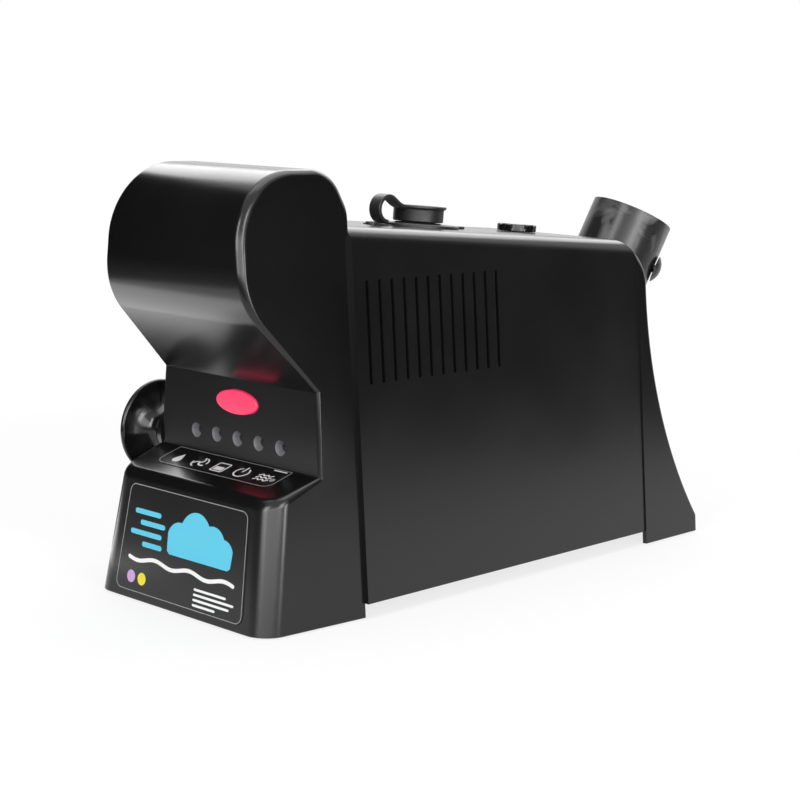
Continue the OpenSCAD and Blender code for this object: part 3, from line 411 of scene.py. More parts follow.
def tint(tree, shader, share, low, high):
    """The base colour goes from low to high with share."""
    tone = add_node(tree, "Mix", {
        "Factor": share, "A": (*low, 1), "B": (*np.minimum(high, 1), 1)}, data_type="RGBA")
    tree.links.new(tone.outputs["Result"], shader.inputs["Base Color"])


def roughen(tree, shader, share, low, high, start=0.0, end=1.0):
    """The roughness goes from low to high while share goes from start to end."""
    tree.links.new(mapped(tree, share, low, high, start, end), shader.inputs["Roughness"])


def emboss(tree, shader, height, strength, distance):
    """A bump of the given height texture."""
    bump = add_node(tree, "Bump", {"Height": height, "Strength": strength, "Distance": distance})
    tree.links.new(bump.outputs["Normal"], shader.inputs["Normal"])


def moulded_plastic(name, color, roughness, grain=0.00045, grain_depth=0.12, gloss_spread=0.06, dust=0.02):
    """Moulded plastic: colour drifts slightly, gloss varies in soft patches, a fine grain is in the bump."""
    m, tree, shader, place = new_material(name, Base_Color=(*color, 1), Roughness=roughness, IOR=1.47)
    broad, color, half_spread = noise(tree, place, scale=14, detail=5), np.array(color), gloss_spread / 2
    tint(tree, shader, broad, color * 0.8, color * 1.25 + dust * 0.2)
    roughen(tree, shader, broad, roughness - half_spread, roughness + half_spread, start=0.3, end=0.7)
    emboss(tree, shader, noise(tree, place, 1 / grain), grain_depth, distance=0.00005)
    return m


satin_black = moulded_plastic("satin_black", (0.0035, 0.0035, 0.0038), 0.2)

turn = np.linspace(0, np.pi / 2, round_steps + 1)


def head_profile():
    """Underside, chin, front, drum, crown and back edge of the head as (y, z) points, each with the
    vector that one millimetre of inset moves it by (at the crease the mitre of both walls) and the
    radius of the rounding there: small on the underside, growing round the chin."""
    points, inward, radius = [(panel_y, crease_z)], [(-1.0, 1 - math.sqrt(2))], [tower_edge]
    for mid, r, start, end, n in ((chin_mid, chin_r, 1.25, 1, 24), (drum_mid, drum_r, 1, 0.5, 40),
                                  (crown_mid, crown_r, 0.5, crown_last / math.pi, 16)):
        for a in np.linspace(start * np.pi, end * np.pi, n):
            points.append((mid[0] + r * math.cos(a), mid[1] + r * math.sin(a)))
            inward.append((math.cos(a), math.sin(a)))
            radius.append(under_edge_r + (edge_r - under_edge_r) * min(1, (1.25 - a / math.pi) * 4))
    points.append((0.0, back_top_z))
    inward.append((0.0, 1 / math.sin(crown_last)))
    return np.array(points), np.array(inward), np.array(radius + [edge_r])


profile, inset_way, round_at = head_profile()
tower_rows = 8


def head_ring(angle):
    """The head and tower edge at an angle round the rounding: 0 on the front sheet, 90 on the flank."""
    yz = profile - inset_way * (round_at * (1 - math.cos(angle)))[:, None]
    drop = tower_edge * (1 - math.cos(angle))
    low = np.array([panel_y + drop, shelf_at(panel_y + drop) - drop])
    tower = low + (yz[0] - low) * np.linspace(0, 1, tower_rows, endpoint=False)[:, None]
    yz = np.concatenate([tower, yz])
    radius = np.concatenate([np.full(tower_rows, tower_edge), round_at])
    x = flank_x(yz[:, 0], yz[:, 1]) - radius * (1 - math.sin(angle))
    return np.column_stack([x, yz])


rings = np.array([head_ring(a) for a in turn])
housing = [smooth_patch(rings[:, :tower_rows + 1]), smooth_patch(rings[:, tower_rows:])]
housing += [mirrored(p) for p in housing]
housing.append(across(rings[0][tower_rows:]))


def base_corner(front_turn, top_turn, z_low=None):
    """A point of the base: front_turn goes 0 on the flank to 90 on the front, top_turn 0 on the upright
    walls to 90 on the shelf. Plan corner and top rounding shrink together, as a cutter would leave them.
    The height is z_low, or the shelf's, found by eight steps from 60 mm because front and shelf lean."""
    inset = edge_r * (1 - np.cos(top_turn))
    back_by = inset + (corner_r - inset) * (1 - np.sin(front_turn))
    z = np.full(np.broadcast(front_turn, top_turn).shape, 60.0 if z_low is None else z_low)
    for _ in range(8 if z_low is None else 0):
        z = shelf_at(base_front(z) + back_by) - edge_r * (1 - np.sin(top_turn))
    y = base_front(z) + back_by
    x = flank_x(y, z) - inset - (corner_r - inset) * (1 - np.cos(front_turn))
    return np.stack(np.broadcast_arrays(x, y, z), -1)


round_front, round_top = np.meshgrid(turn, turn, indexing="ij")
corner_top = base_corner(round_front, round_top)
corner_foot = base_corner(turn[:, None], np.zeros((1, 1)), floor_gap)
corner_wall = np.concatenate([corner_foot, corner_top[:, :1]], 1)
half_base = [smooth_patch(corner_top), smooth_patch(corner_wall)]
run = np.linspace(0, 1, 6)[:, None]
start_y = corner_top[0, :, 1][None]
end_y = (panel_y + tower_edge * (1 - np.sin(turn)))[None]
lip_y = start_y + (end_y - start_y) * run
lip_r = edge_r + (tower_edge - edge_r) * run
lip_z = shelf_at(lip_y) - lip_r * (1 - np.sin(turn))[None]
lip = np.stack([flank_x(lip_y, lip_z) - lip_r * (1 - np.cos(turn))[None], lip_y, lip_z], -1)
half_base.append(smooth_patch(lip))
housing += half_base + [mirrored(p) for p in half_base]
front_rows = np.concatenate([corner_foot[-1:, 0], corner_top[-1]], 0)
housing.append(across(front_rows))
shelf_rim = whole_rim(np.concatenate([lip[::-1, -1], corner_top[1:, -1]], 0)[:, :2])
housing.append(flat_sheet(shelf_rim, [], lambda p: np.column_stack([p, shelf_at(p[:, 1])])))

# the flank's taper changes between base and head, so its sheet gets points inside the outline there
back_low_z = 190.0
flank_rim = np.concatenate([
    [[0, floor_gap]], corner_wall[0, :, 1:], lip[1:, 0, 1:], rings[-1][1:, 1:], [[0, back_low_z]]])
inner = [(y, z) for z in np.linspace(46, 124, 20) for y in np.linspace(-48, -4, 9)
         if y > panel_y + 4 or z < 62]
flank = flat_sheet(flank_rim, [], lambda p: np.column_stack([flank_x(p[:, 0], p[:, 1]), p]), inner)
flank = (*flank[:2], flank_normals(flank[0]))
housing += [flank, mirrored(flank)]
back_half = np.concatenate([[[flank_x(0, back_low_z), back_low_z]], rings[::-1, -1][:, [0, 2]]])
housing.append(flat_sheet(whole_rim(back_half), [], upright(0.0)))

button_z, button_w, button_h, button_gap = 104.0, 31.0, 12.5, 0.35
lamp_z, lamp_pitch, lamp_well = 85.0, 16.0, 8.0
lamp_xs = [k * lamp_pitch for k in range(-2, 3)]
panel_rim = whole_rim(rings[0][:tower_rows + 1, [0, 2]])
windows = [ellipse(0, button_z, button_w + 2 * button_gap, button_h + 2 * button_gap, 64)]
windows += [ellipse(x, lamp_z, lamp_well, lamp_well, 32) for x in lamp_xs]
housing.append(flat_sheet(panel_rim, windows, upright(panel_y)))
weld("housing_shell", housing, satin_black, "chassis", ["front_housing"], wall=2.6)

# ---------- case cover ----------
# The long lid-shaped case, the same black plastic with a slightly finer polish. Its flanks lean in,
# its top falls towards the rear, and twelve narrow air slots are moulded through each flank.
case_foot = 72.4
case_z0 = 10.9
case_len = 236.4
top_front_z, top_run = 196.0, math.tan(math.radians(3.9))
case_edge = 9.0
tail_r = 17.0
slot_count, slot_pitch, slot_wide, slot_z0, slot_z1, slot_y0 = 12, 9.0, 2.2, 117.5, 169.5, 9.4
tail_y = case_len - tail_r


def case_x(z):
    """Half width of the case at height z."""
    return case_foot - z * flank_lean


def case_top(y):
    """Height of the case top at y."""
    return top_front_z - y * top_run


tail_z = case_top(tail_y) - tail_r


def tail_seam(below):
    """The y at which a line that lies below the top by a given depth meets the round seam with the stand."""
    y = np.full(np.shape(below), tail_y + 1.0)
    for _ in range(30):
        y = tail_y + np.sqrt(np.clip(tail_r ** 2 - (case_top(y) - below - tail_z) ** 2, 0, None))
    return y


def tail_arc(z, n):
    """Points (y, z) of the case's round tail, radius times (cos a, sin a), from height z to its middle."""
    a = np.linspace(math.asin((z - tail_z) / tail_r), 0, n)
    return np.stack([tail_y + tail_r * np.cos(a), tail_z + tail_r * np.sin(a)], 1)


fall = case_edge * (1 - np.sin(turn))
far_y = tail_seam(fall)
along = np.linspace(0, 1, 12)[:, None]
edge_y = along * far_y[None]
edge_z = case_top(edge_y) - fall[None]
edge_x = case_x(edge_z) - case_edge * (1 - np.cos(turn))[None]
shoulder = smooth_patch(np.stack([edge_x, edge_y, edge_z], -1))
case_top_sheet = across(np.stack([edge_x[:, -1], edge_y[:, -1], edge_z[:, -1]], -1))
case_rim = np.concatenate([
    [[0, case_z0]], np.stack([edge_y[:, 0], edge_z[:, 0]], 1), tail_arc(edge_z[-1, 0], 10)[1:],
    [[case_len, case_z0]]])


def slot_outline(y):
    """A slot: two upright sides closed by half circles."""
    a = np.linspace(0, np.pi, 7)
    r = slot_wide / 2
    up = np.stack([y + r * np.cos(a), slot_z1 - r + r * np.sin(a)], 1)
    down = np.stack([y - r * np.cos(a), slot_z0 + r - r * np.sin(a)], 1)
    return np.concatenate([up, down])


slots = [slot_outline(slot_y0 + k * slot_pitch) for k in range(slot_count)]
case_flank = flat_sheet(case_rim, slots, lambda p: np.column_stack([case_x(p[:, 1]), p]))
case_black = moulded_plastic("case_black", (0.0042, 0.0042, 0.0045), 0.22, grain=0.0006)
weld("case_shell", [shoulder, mirrored(shoulder), case_top_sheet, case_flank, mirrored(case_flank)],
     case_black, "chassis", ["case_cover"], wall=2.6)

# ---------- rear stand ----------
# The rear moulding that closes the case and carries the outlet. Its back sweeps out into a foot. It
# stands 0.8 mm proud of the case all round, which shows as a thin step along the seam.
stand_back = 245.0
stand_step = 0.8
stand_bend_r, foot_edge_r = 26.0, 2.2
sweep_r, sweep_z = 247.0, 152.0
foot_tip_z = 11.0
bend_mid = (stand_back - stand_bend_r, case_top(stand_back - stand_bend_r) - stand_bend_r)


def stand_outline(t):
    """Outer line of the stand for t from 0 (top, at the seam) over 1 (end of the bend), 2 (start of the
    sweep), 3 (foot tip) to 4 (floor): points, outward normals and the rounding of the edge there."""
    t = np.asarray(t, float)
    a = np.clip(1 - t, 0, 1) * np.pi / 2
    bend = np.stack([bend_mid[0] + stand_bend_r * np.cos(a), bend_mid[1] + stand_bend_r * np.sin(a)], -1)
    bend_out = np.stack([np.cos(a), np.sin(a)], -1)
    z_mid = bend_mid[1] + (sweep_z - bend_mid[1]) * np.clip(t - 1, 0, 1)
    z_low = sweep_z + (foot_tip_z - sweep_z) * np.clip(t - 2, 0, 1)
    y_low = stand_back + sweep_r - np.sqrt(sweep_r ** 2 - (sweep_z - z_low) ** 2)
    slope = np.stack([(stand_back + sweep_r - y_low) / sweep_r, (sweep_z - z_low) / sweep_r], -1)
    z_tip = foot_tip_z + (floor_gap - foot_tip_z) * np.clip(t - 3, 0, 1)
    below = [np.where(t < 2, stand_back, y_low), np.where(t < 2, z_mid, np.where(t < 3, z_low, z_tip))]
    point = np.where((t < 1)[..., None], bend, np.stack(below, -1))
    out = np.where((t < 1)[..., None], bend_out, np.where((t < 2)[..., None], [1.0, 0.0], slope))
    out = np.where((t > 3)[..., None], [1.0, 0.0], out)
    ease = np.clip(t / 1.1, 0, 1)
    ease = ease * ease * (3 - 2 * ease)
    return point, out, case_edge + (foot_edge_r - case_edge) * ease


def seam_side(p):
    """Signed distance of (y, z) outside the case's tail: positive on the stand's side."""
    high = p[..., 1] > tail_z
    round_part = np.hypot(p[..., 0] - tail_y, p[..., 1] - tail_z) - tail_r
    return np.where(high & (p[..., 0] > tail_y), round_part, p[..., 0] - case_len)


def stand_ring(angle):
    """One ring of the stand's edge rounding, from where it leaves the seam down to the floor."""
    def at(t):
        point, out, r = stand_outline(t)
        return point - out * (r * (1 - math.cos(angle)))[..., None], r
    lo, hi = 0.0, 1.0
    if angle > 0:
        for _ in range(40):
            mid = (lo + hi) / 2
            lo, hi = (lo, mid) if seam_side(at(mid)[0]) > 0 else (mid, hi)
    t = np.concatenate([np.linspace(hi if angle > 0 else 0.0, 1, 22), [2.0], np.linspace(2, 3, 26)[1:],
                        [3.0001, 4.0]])
    yz, r = at(t)
    yz[-1, 1] = floor_gap
    yz[-2, 1] = yz[-3, 1]
    yz[-2:, 0] = yz[-3, 0]
    x = case_x(yz[:, 1]) + stand_step - r * (1 - math.sin(angle))
    return np.column_stack([x, yz])


stand_rings = np.array([stand_ring(a) for a in turn])
stand_edge = smooth_patch(stand_rings)
stand_rear = across(stand_rings[0])
stand_rim = np.concatenate([
    stand_rings[-1][::-1, 1:], tail_arc(stand_rings[-1][0, 2], 8)[1:], [[case_len, floor_gap]]])
stand_flank = flat_sheet(stand_rim, [], lambda p: np.column_stack([case_x(p[:, 1]) + stand_step, p]))
weld("stand_shell", [stand_edge, mirrored(stand_edge), stand_rear, stand_flank, mirrored(stand_flank)],
     satin_black, "chassis", ["rear_stand"], wall=2.8)

# ---------- status lamps ----------
# Five clear lamps stand on the board behind the panel. Each looks out through a moulded sleeve that
# narrows behind a rounded lip, so from outside it is a shallow well with the lamp's dome at its bottom.
# The sleeves' pale grey is a painted highlight: it stands in for the glint on the lamps' clear domes,
# and the lamps then light and shade it as they would any grey.
sleeve_depth, sleeve_end_r, sleeve_back, lip_r = 5.2, 3.0, 6.0, 0.4
lamp_r, flange_out, flange_at, lamp_back, leg_end = 2.5, 0.45, 9.2, 10.1, 13.4
leg_half, leg_r = 1.27, 0.3


def box_ys(name):
    """Where a CAD node starts and ends along the machine's own y: metres from the seam times 1000."""
    return [corner.y * 1000 - seam_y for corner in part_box(name)]


lamp_front = box_ys("status_lamps")[0] - panel_y


def arc(mid, r, start, end, n=9):
    """Points (u, v) of a circular arc round mid from start to end in degrees."""
    a = np.radians(np.linspace(start, end, n))
    return np.stack([mid[0] + r * np.cos(a), mid[1] + r * np.sin(a)], 1)


def frame_on(along, start=(0, 0, 1)):
    """Two unit vectors across an axis: the first as near to start as it can be, the second at 90 degrees."""
    along = np.asarray(along, float) / np.linalg.norm(along)
    first = np.asarray(start, float) - np.dot(start, along) * along
    first /= np.linalg.norm(first)
    return along, first, np.cross(along, first)


def turned(profile, origin, along, start=(0, 0, 1), n=64, squeeze=1.0, swell=None):
    """Turned surface: each (radius, distance) point of the profile is carried round the axis through
    origin. squeeze flattens the second cross direction; swell(angle, profile row) scales the radius."""
    profile = np.asarray(profile, float)
    along, first, second = frame_on(along, start)
    a = np.linspace(0, 2 * np.pi, n + 1)[:, None]
    r = profile[None, :, 0] * (1 if swell is None else swell(a, np.arange(len(profile))[None]))
    p = np.asarray(origin, float) + profile[None, :, 1, None] * along
    p = p + (r * np.cos(a))[..., None] * first + (r * np.sin(a) * squeeze)[..., None] * second
    p[-1] = p[0]
    return patch(p)


sleeve = np.concatenate([
    [(0, sleeve_depth), (sleeve_end_r, sleeve_depth)],
    arc((lamp_well / 2 + lip_r, lip_r), lip_r, 180, 270, 6),
    [(lamp_well / 2 + lip_r, sleeve_back), (0, sleeve_back)]])
# pale grey sleeve colour: a painted highlight that stands in for the glint on the lamps' domes
sleeve_painted_highlight = moulded_plastic("sleeve_painted_highlight", (0.28, 0.28, 0.29), 0.25)
weld("lamp_sleeves", [turned(sleeve, (x, panel_y, lamp_z), (0, 1, 0), n=40) for x in lamp_xs],
     sleeve_painted_highlight, "chassis")
dome = np.concatenate([arc((0, lamp_r), lamp_r, -90, 0, 10), [
    (lamp_r, flange_at), (lamp_r + flange_out, flange_at), (lamp_r + flange_out, lamp_back), (0, lamp_back)]])
leg = np.array([(0, lamp_back), (leg_r, lamp_back), (leg_r, leg_end), (0, leg_end)])
lamp_parts = [turned(dome + [0, lamp_front], (x, panel_y, lamp_z), (0, 1, 0), n=32) for x in lamp_xs]
lamp_parts += [turned(leg + [0, lamp_front], (x + s, panel_y, lamp_z), (0, 1, 0), n=8)
               for x in lamp_xs for s in (-leg_half, leg_half)]
lamp_clear, tree, shader, place = new_material(
    "lamp_clear", Base_Color=(0.02, 0.021, 0.022, 1), Roughness=0.12, IOR=1.5, Transmission_Weight=0.3)
roughen(tree, shader, noise(tree, place, scale=700), low=0.05, high=0.16)
weld("lamp_domes", lamp_parts, lamp_clear, "chassis", ["status_lamps"])

# ---------- start button ----------
# Oval cap of tinted plastic, lit from behind by its switch. It stands a little proud of the panel in an
# oval window and has a stem to the switch.
cap_face, stem_end = (y - panel_y for y in box_ys("start_button"))
cap_back, cap_edge, cap_crown, button_stem = 6.6, 0.9, 0.22, 2.5
half, edge_wide = button_w / 2, cap_edge * 1.6
crown = [(half * k, cap_face + cap_crown * k * k) for k in np.linspace(0, (half - edge_wide) / half, 8)]
edge_mid = [half - edge_wide, cap_face + cap_crown + cap_edge]
edge = arc((0, 0), 1.0, -90, 0, 9) * [edge_wide, cap_edge] + edge_mid
cap = np.concatenate([crown, edge[1:], [(half, cap_back), (0, cap_back)]])
stem = [(0, cap_back - 0.1), (button_stem, cap_back - 0.1), (button_stem, stem_end), (0, stem_end)]
button_red = moulded_plastic("button_red", (0.80, 0.035, 0.10), 0.3, gloss_spread=0.1, dust=0)
lit = button_red.node_tree.nodes["Principled BSDF"].inputs
lit["Emission Color"].default_value = (0.9, 0.04, 0.13, 1)
lit["Emission Strength"].default_value = 0.35
button_at = (0, panel_y, button_z)
button_parts = [turned(cap, button_at, (0, 1, 0), (1, 0, 0), n=96, squeeze=button_h / button_w)]
button_parts.append(turned(stem, button_at, (0, 1, 0), n=32))
weld("button_cap", button_parts, button_red, "button", ["start_button"], sharp=50)

# ---------- printed sheets ----------
# A thin printed film on the sloping shelf carries five signs for the lamps above; a larger one covers
# the base front. Both are black polyester with rounded corners and a fine pale line near the edge.
# The inks lie on the film as layers a few hundredths of a millimetre thick.
film_t, film_lift, ink_t = 0.3, 0.02, 0.03
shelf_tilt = math.atan(shelf_rise)


def on_shelf(p, lift):
    """Shelf coordinates (x, distance up the slope from its lower front point) to machine points."""
    c, s = math.cos(shelf_tilt), math.sin(shelf_tilt)
    return np.column_stack([p[:, 0], shelf_y + p[:, 1] * c - lift * s, shelf_z + p[:, 1] * s + lift * c])


def on_front(p, lift):
    """Front coordinates (x, height) to machine points on the leaning base front."""
    c = math.cos(math.atan(front_lean))
    return np.column_stack([p[:, 0], base_front(p[:, 1]) - lift * c, p[:, 1] + lift * front_lean * c])


def rounded(corners, radii, n=10):
    """Closed outline through the corners, each rounded with its own radius between tangent points."""
    corners = np.asarray(corners, float)
    out = []
    for k, r in enumerate(radii):
        here, before, after = corners[k], corners[k - 1], corners[(k + 1) % len(corners)]
        u, v = before - here, after - here
        u, v = u / np.linalg.norm(u), v / np.linalg.norm(v)
        bend = math.acos(np.clip(np.dot(u, v), -1, 1))
        if r <= 0:
            out.append(here[None])
            continue
        mid = here + (u + v) / np.linalg.norm(u + v) * r / math.sin(bend / 2)
        a, b = here + u * r / math.tan(bend / 2) - mid, here + v * r / math.tan(bend / 2) - mid
        t = np.linspace(0, 1, n)[:, None]
        turn_by = math.acos(np.clip(np.dot(a, b) / r / r, -1, 1))
        out.append(mid + (np.sin((1 - t) * turn_by) * a + np.sin(t * turn_by) * b) / math.sin(turn_by))
    return np.concatenate(out)


def oblong(x0, y0, x1, y1, radii, n=10):
    """The outline of a rectangle from (x0, y0) to (x1, y1) with its corners rounded."""
    return rounded([(x0, y0), (x1, y0), (x1, y1), (x0, y1)], radii, n)


def offset_outline(outline, by):
    """Closed outline moved inwards by a distance, each point along the bisector of its two sides."""
    sides = [np.roll(outline, -1, 0) - outline, outline - np.roll(outline, 1, 0)]
    mid = sum(np.stack([-s[:, 1], s[:, 0]], 1) / np.linalg.norm(s, axis=1)[:, None] for s in sides)
    return outline + mid / (mid * mid).sum(1)[:, None] * 2 * by


def plate(outline, place, low, high, holes=()):
    """A thin plate: its outline as the top sheet, the same outline as the bottom and a side wall."""
    parts = [flat_sheet(outline, holes, lambda p, lift=lift: place(p, lift)) for lift in (high, low)]
    for loop in (outline, *holes):
        ring = np.concatenate([loop, loop[:1]])
        parts.append(patch(np.stack([place(ring, low), place(ring, high)])))
    return parts


def line_ring(outline, inset, wide, place, low, high):
    """A closed printed line that runs inside an outline at a given inset."""
    outer = offset_outline(outline, inset)
    return plate(outer, place, low, high, [offset_outline(outer, wide)])


def stroke(points, wide, place, low, high, n_end=6):
    """A printed stroke: a band of even width along the points with half-round ends."""
    points = np.asarray(points, float)
    way = np.gradient(points, axis=0)
    way /= np.linalg.norm(way, axis=1)[:, None]
    side = np.stack([-way[:, 1], way[:, 0]], 1) * wide / 2
    a = np.linspace(0, np.pi, n_end + 2)[1:-1, None]
    end = points[-1] + np.cos(a) * side[-1] + np.sin(a) * way[-1] * wide / 2
    start = points[0] - np.cos(a) * side[0] - np.sin(a) * way[0] * wide / 2
    return plate(np.concatenate([points + side, end, (points - side)[::-1], start])[::-1], place, low, high)


def print_ink(name, color, roughness=0.42):
    """Screen ink: flat colour broken by fine speckle, a little rough."""
    m, tree, shader, place = new_material(name, Base_Color=(*color, 1), Roughness=roughness)
    tint(tree, shader, noise(tree, place, scale=2600), np.array(color) * 0.88, np.array(color) * 1.06)
    return m


film_black = moulded_plastic("film_black", (0.006, 0.006, 0.0065), 0.2, grain=0.0012, grain_depth=0.05)
ink_white, ink_grey, ink_cyan, ink_violet, ink_yellow = (print_ink("ink_" + name, color) for name, color in (
    ("white", (0.82, 0.82, 0.82)), ("grey", (0.33, 0.33, 0.33)), ("cyan", (0.09, 0.53, 0.72)),
    ("violet", (0.55, 0.33, 0.62)), ("yellow", (0.80, 0.66, 0.02))))

overlay_low, overlay_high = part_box("legend_overlay")
overlay_half = (overlay_high.x - overlay_low.x) * 500
overlay_v0, overlay_v1 = ((y - shelf_y) / math.cos(shelf_tilt) for y in box_ys("legend_overlay"))
overlay = oblong(-overlay_half, overlay_v0, overlay_half, overlay_v1, [6, 6, 0.8, 0.8])
weld("legend_film", plate(overlay, on_shelf, film_lift, film_t), film_black, "chassis", ["legend_overlay"])

shelf_ink, front_ink = ((place, film_t - 0.005, film_t + ink_t) for place in (on_shelf, on_front))
weld("legend_border", line_ring(overlay, 0.5, 0.35, *shelf_ink), ink_grey, "chassis")
# one sign under each lamp: a drop, a fan wheel, a level mark, a ring with a gap and a row of waves
sign_v, sign = (overlay_v0 + overlay_v1) / 2 - 1.2, 4.6
signs = []


def sign_ring(x, r, start, end):
    """Part of a circle as a stroke."""
    return stroke(arc((x, sign_v), r, start, end, 28), 0.9, *shelf_ink)


x = lamp_xs[0]
a = np.linspace(0, 2 * np.pi, 40, endpoint=False)
drop = np.stack([x + sign * 0.62 * np.sin(a) * (1 - np.cos(a)) / 1.3, sign_v + sign * np.cos(a)], 1)
signs += plate(drop, *shelf_ink)
x = lamp_xs[1]
for k in range(3):
    t = np.linspace(0.12, 1, 10)
    a = np.radians(120 * k + 20 + 70 * t)
    signs += stroke(np.stack([x + sign * t * np.cos(a), sign_v + sign * t * np.sin(a)], 1), 1.1, *shelf_ink)
signs += sign_ring(x, sign + 0.2, 0, 70) + sign_ring(x, sign + 0.2, 180, 250)
x = lamp_xs[2]
cup = oblong(x - sign, sign_v - sign, x + sign, sign_v + sign, [1.2] * 4, 5)
signs += line_ring(cup, 0, 0.8, *shelf_ink)
fill = sign - 1.5
signs += plate(oblong(x - fill, sign_v - fill, x + fill, sign_v + 0.4, [0.3] * 4, 3), *shelf_ink)
x = lamp_xs[3]
signs += sign_ring(x, sign - 0.2, 125, 415)
signs += stroke([(x, sign_v + 0.6), (x, sign_v + sign + 0.7)], 0.9, *shelf_ink)
x = lamp_xs[4]
for k in (-1, 0, 1):
    u = np.linspace(-sign, sign, 24)
    signs += stroke(np.stack([x + u, sign_v + k * 2.3 + 0.7 * np.sin(u * 1.75)], 1), 0.8, *shelf_ink)
tick_x, tick_v = overlay_half - 12.5, overlay_v1 - 2.6
signs += plate(oblong(tick_x, tick_v, tick_x + 9.5, tick_v + 0.9, [0] * 4), *shelf_ink)
weld("legend_signs", signs, ink_white, "chassis")
weld("legend_dot", plate(ellipse(overlay_half - 4.6, sign_v - 0.5, 3.2, 3.2, 24), *shelf_ink),
     ink_grey, "chassis")

label_low_half, label_high_half, label_z0, label_z1, label_corner = 49.5, 45.5, 4.0, 60.0, 5.0
label = rounded([(-label_low_half, label_z0), (label_low_half, label_z0), (label_high_half, label_z1),
                 (-label_high_half, label_z1)], [label_corner] * 4)
weld("label_film", plate(label, on_front, film_lift, film_t), film_black, "chassis", ["front_label"])
weld("label_border", line_ring(label, 0.7, 0.35, *front_ink), ink_grey, "chassis")
# a cloud whose top is the highest of four circles at each x, driven along by four streaks of wind
cloud_x = np.linspace(-12.5, 37.5, 120)
puffs = np.array([(-3.5, 36.5, 9.0), (8.5, 41.0, 11.5), (21.5, 38.5, 9.5), (30.0, 35.5, 7.5)])
reach = np.clip(puffs[:, 2, None] ** 2 - (cloud_x - puffs[:, 0, None]) ** 2, 0, None)
cloud_top = np.where(reach > 0, puffs[:, 1, None] + np.sqrt(reach), 29.0).max(0)
cloud = np.stack([cloud_x, cloud_top], 1)[::-1]
cloud_foot = [(-11.5, 30.0), (-9.5, 28.5), (34.5, 28.5), (36.5, 30.0)]
curls = plate(np.concatenate([cloud_foot, cloud[1:-1]]), *front_ink)
for k, (start_x, end_x) in enumerate(((-38, -20), (-33, -16), (-40, -18), (-30, -17))):
    streak = np.stack([np.linspace(start_x, end_x, 4), np.full(4, 46.0 - 5.4 * k)], 1)
    curls += stroke(streak, 2.6, *front_ink)
weld("label_cloud", curls, ink_cyan, "chassis")
u = np.linspace(-40, 40, 90)
marks = stroke(np.stack([u, 22.0 + 1.1 * np.sin(u * 0.235)], 1), 2.0, *front_ink)
for k, long in enumerate((24, 30, 27, 17)):
    marks += plate(oblong(12, 14.5 - 2.6 * k, 12 + long, 15.7 - 2.6 * k, [0.5] * 4, 3), *front_ink)
weld("label_marks", marks, ink_white, "chassis")
for name, x, ink in (("label_dots_violet", -37, ink_violet), ("label_dots_yellow", -28.5, ink_yellow)):
    weld(name, plate(ellipse(x, 12, 6.4, 6.4, 32), *front_ink), ink, "chassis")

# ---------- cord spool ----------
# Glossy turned spool on the left of the tower that the supply lead is wound on: foot, waisted neck and
# flared disc with a dished face. One socket screw through its middle holds it to a nut in the tower.
spool_y, spool_z, spool_r, neck_r, foot_r = -13.0, 79.0, 25.75, 10.4, 14.0
spool_at = (-flank_x(spool_y, spool_z), spool_y, spool_z)
rim_mid, rim_r = (spool_r - 1.5, 16.8), 1.5
flare_t = np.radians(np.linspace(0, 90, 22))[1:]
flare_from, flare_to = (neck_r, 5), (rim_mid[0], rim_mid[1] - rim_r)
flare = np.stack([flare_to[0] - (flare_to[0] - flare_from[0]) * np.cos(flare_t),
                  flare_from[1] + (flare_to[1] - flare_from[1]) * np.sin(flare_t)], 1)
screw_well, seat_out, foot_in = 5.6, 16.2, -2.2
spool_profile = np.concatenate([
    [(0, foot_in), (foot_r, foot_in), (foot_r, 0.9)], arc((foot_r - 0.7, 0.9), 0.7, 0, 90, 5)[1:],
    [(neck_r + 1.6, 1.8)], arc((neck_r + 1.6, 3.4), 1.6, 270, 180, 7)[1:], flare,
    arc(rim_mid, rim_r, -90, 90, 13)[1:], arc((rim_mid[0] - 2.2, 19.0), 0.9, 320, 270, 5),
    [(screw_well + 1.2, 17.7)], arc((screw_well + 1.2, 16.5), 1.2, 90, 180, 5)[1:],
    [(screw_well, seat_out), (0, seat_out)]])


def gloss_plastic(name, color, roughness, haze=0.0, haze_size=60, scuff=0.02):
    """Polished plastic: a thin film of residue lies on it in soft cloudy patches, paler and rougher than
    the gloss around it, and faint swirl marks from wiping are in the bump."""
    m, tree, shader, place = new_material(name, Base_Color=(*color, 1), Roughness=roughness, IOR=1.5)
    amount = mapped(tree, noise(tree, place, haze_size, detail=4, Distortion=0.8), 0, 1, start=0.52, end=0.74)
    tint(tree, shader, amount, color, np.array(color) + haze)
    roughen(tree, shader, amount, roughness, roughness + 0.18)
    emboss(tree, shader, noise(tree, place, scale=90, detail=6, Roughness=0.7), 0.25, scuff / 1000)
    return m


spool_black = gloss_plastic("spool_black", (0.006, 0.006, 0.0065), 0.16, haze=0.003)
weld("spool_body", [turned(spool_profile, spool_at, (-1, 0, 0), n=96)], spool_black, "chassis",
     ["cord_spool"])


def socket_screw(origin, along, shank_r, tail, head_r, head_h, socket_r, start=(0, 0, 1)):
    """Round-headed screw seated at origin. The three rows of the socket follow a hexagon: their radius is
    socket_r cos 30 / cos(angle from the nearest flat's middle)."""
    a = np.radians(np.linspace(0, 90, 9))
    dome_r = head_r - socket_r - 0.4
    dome = np.stack([head_r - dome_r * (1 - np.cos(a)), head_h * (0.35 + 0.65 * np.sin(a))], 1)
    floor = head_h * 0.38
    socket = [(socket_r, head_h), (socket_r, head_h * 0.4), (socket_r * 0.98, floor), (0, floor)]
    rows = np.concatenate([[(0, tail), (shank_r, tail), (shank_r, 0), (head_r, 0)], dome, socket])

    def hexagon(angle, row):
        six = math.cos(math.pi / 6) / np.cos(angle % (math.pi / 3) - math.pi / 6)
        return np.where(row >= len(rows) - len(socket), six, 1.0)
    return turned(rows, origin, along, start, n=48, swell=hexagon)


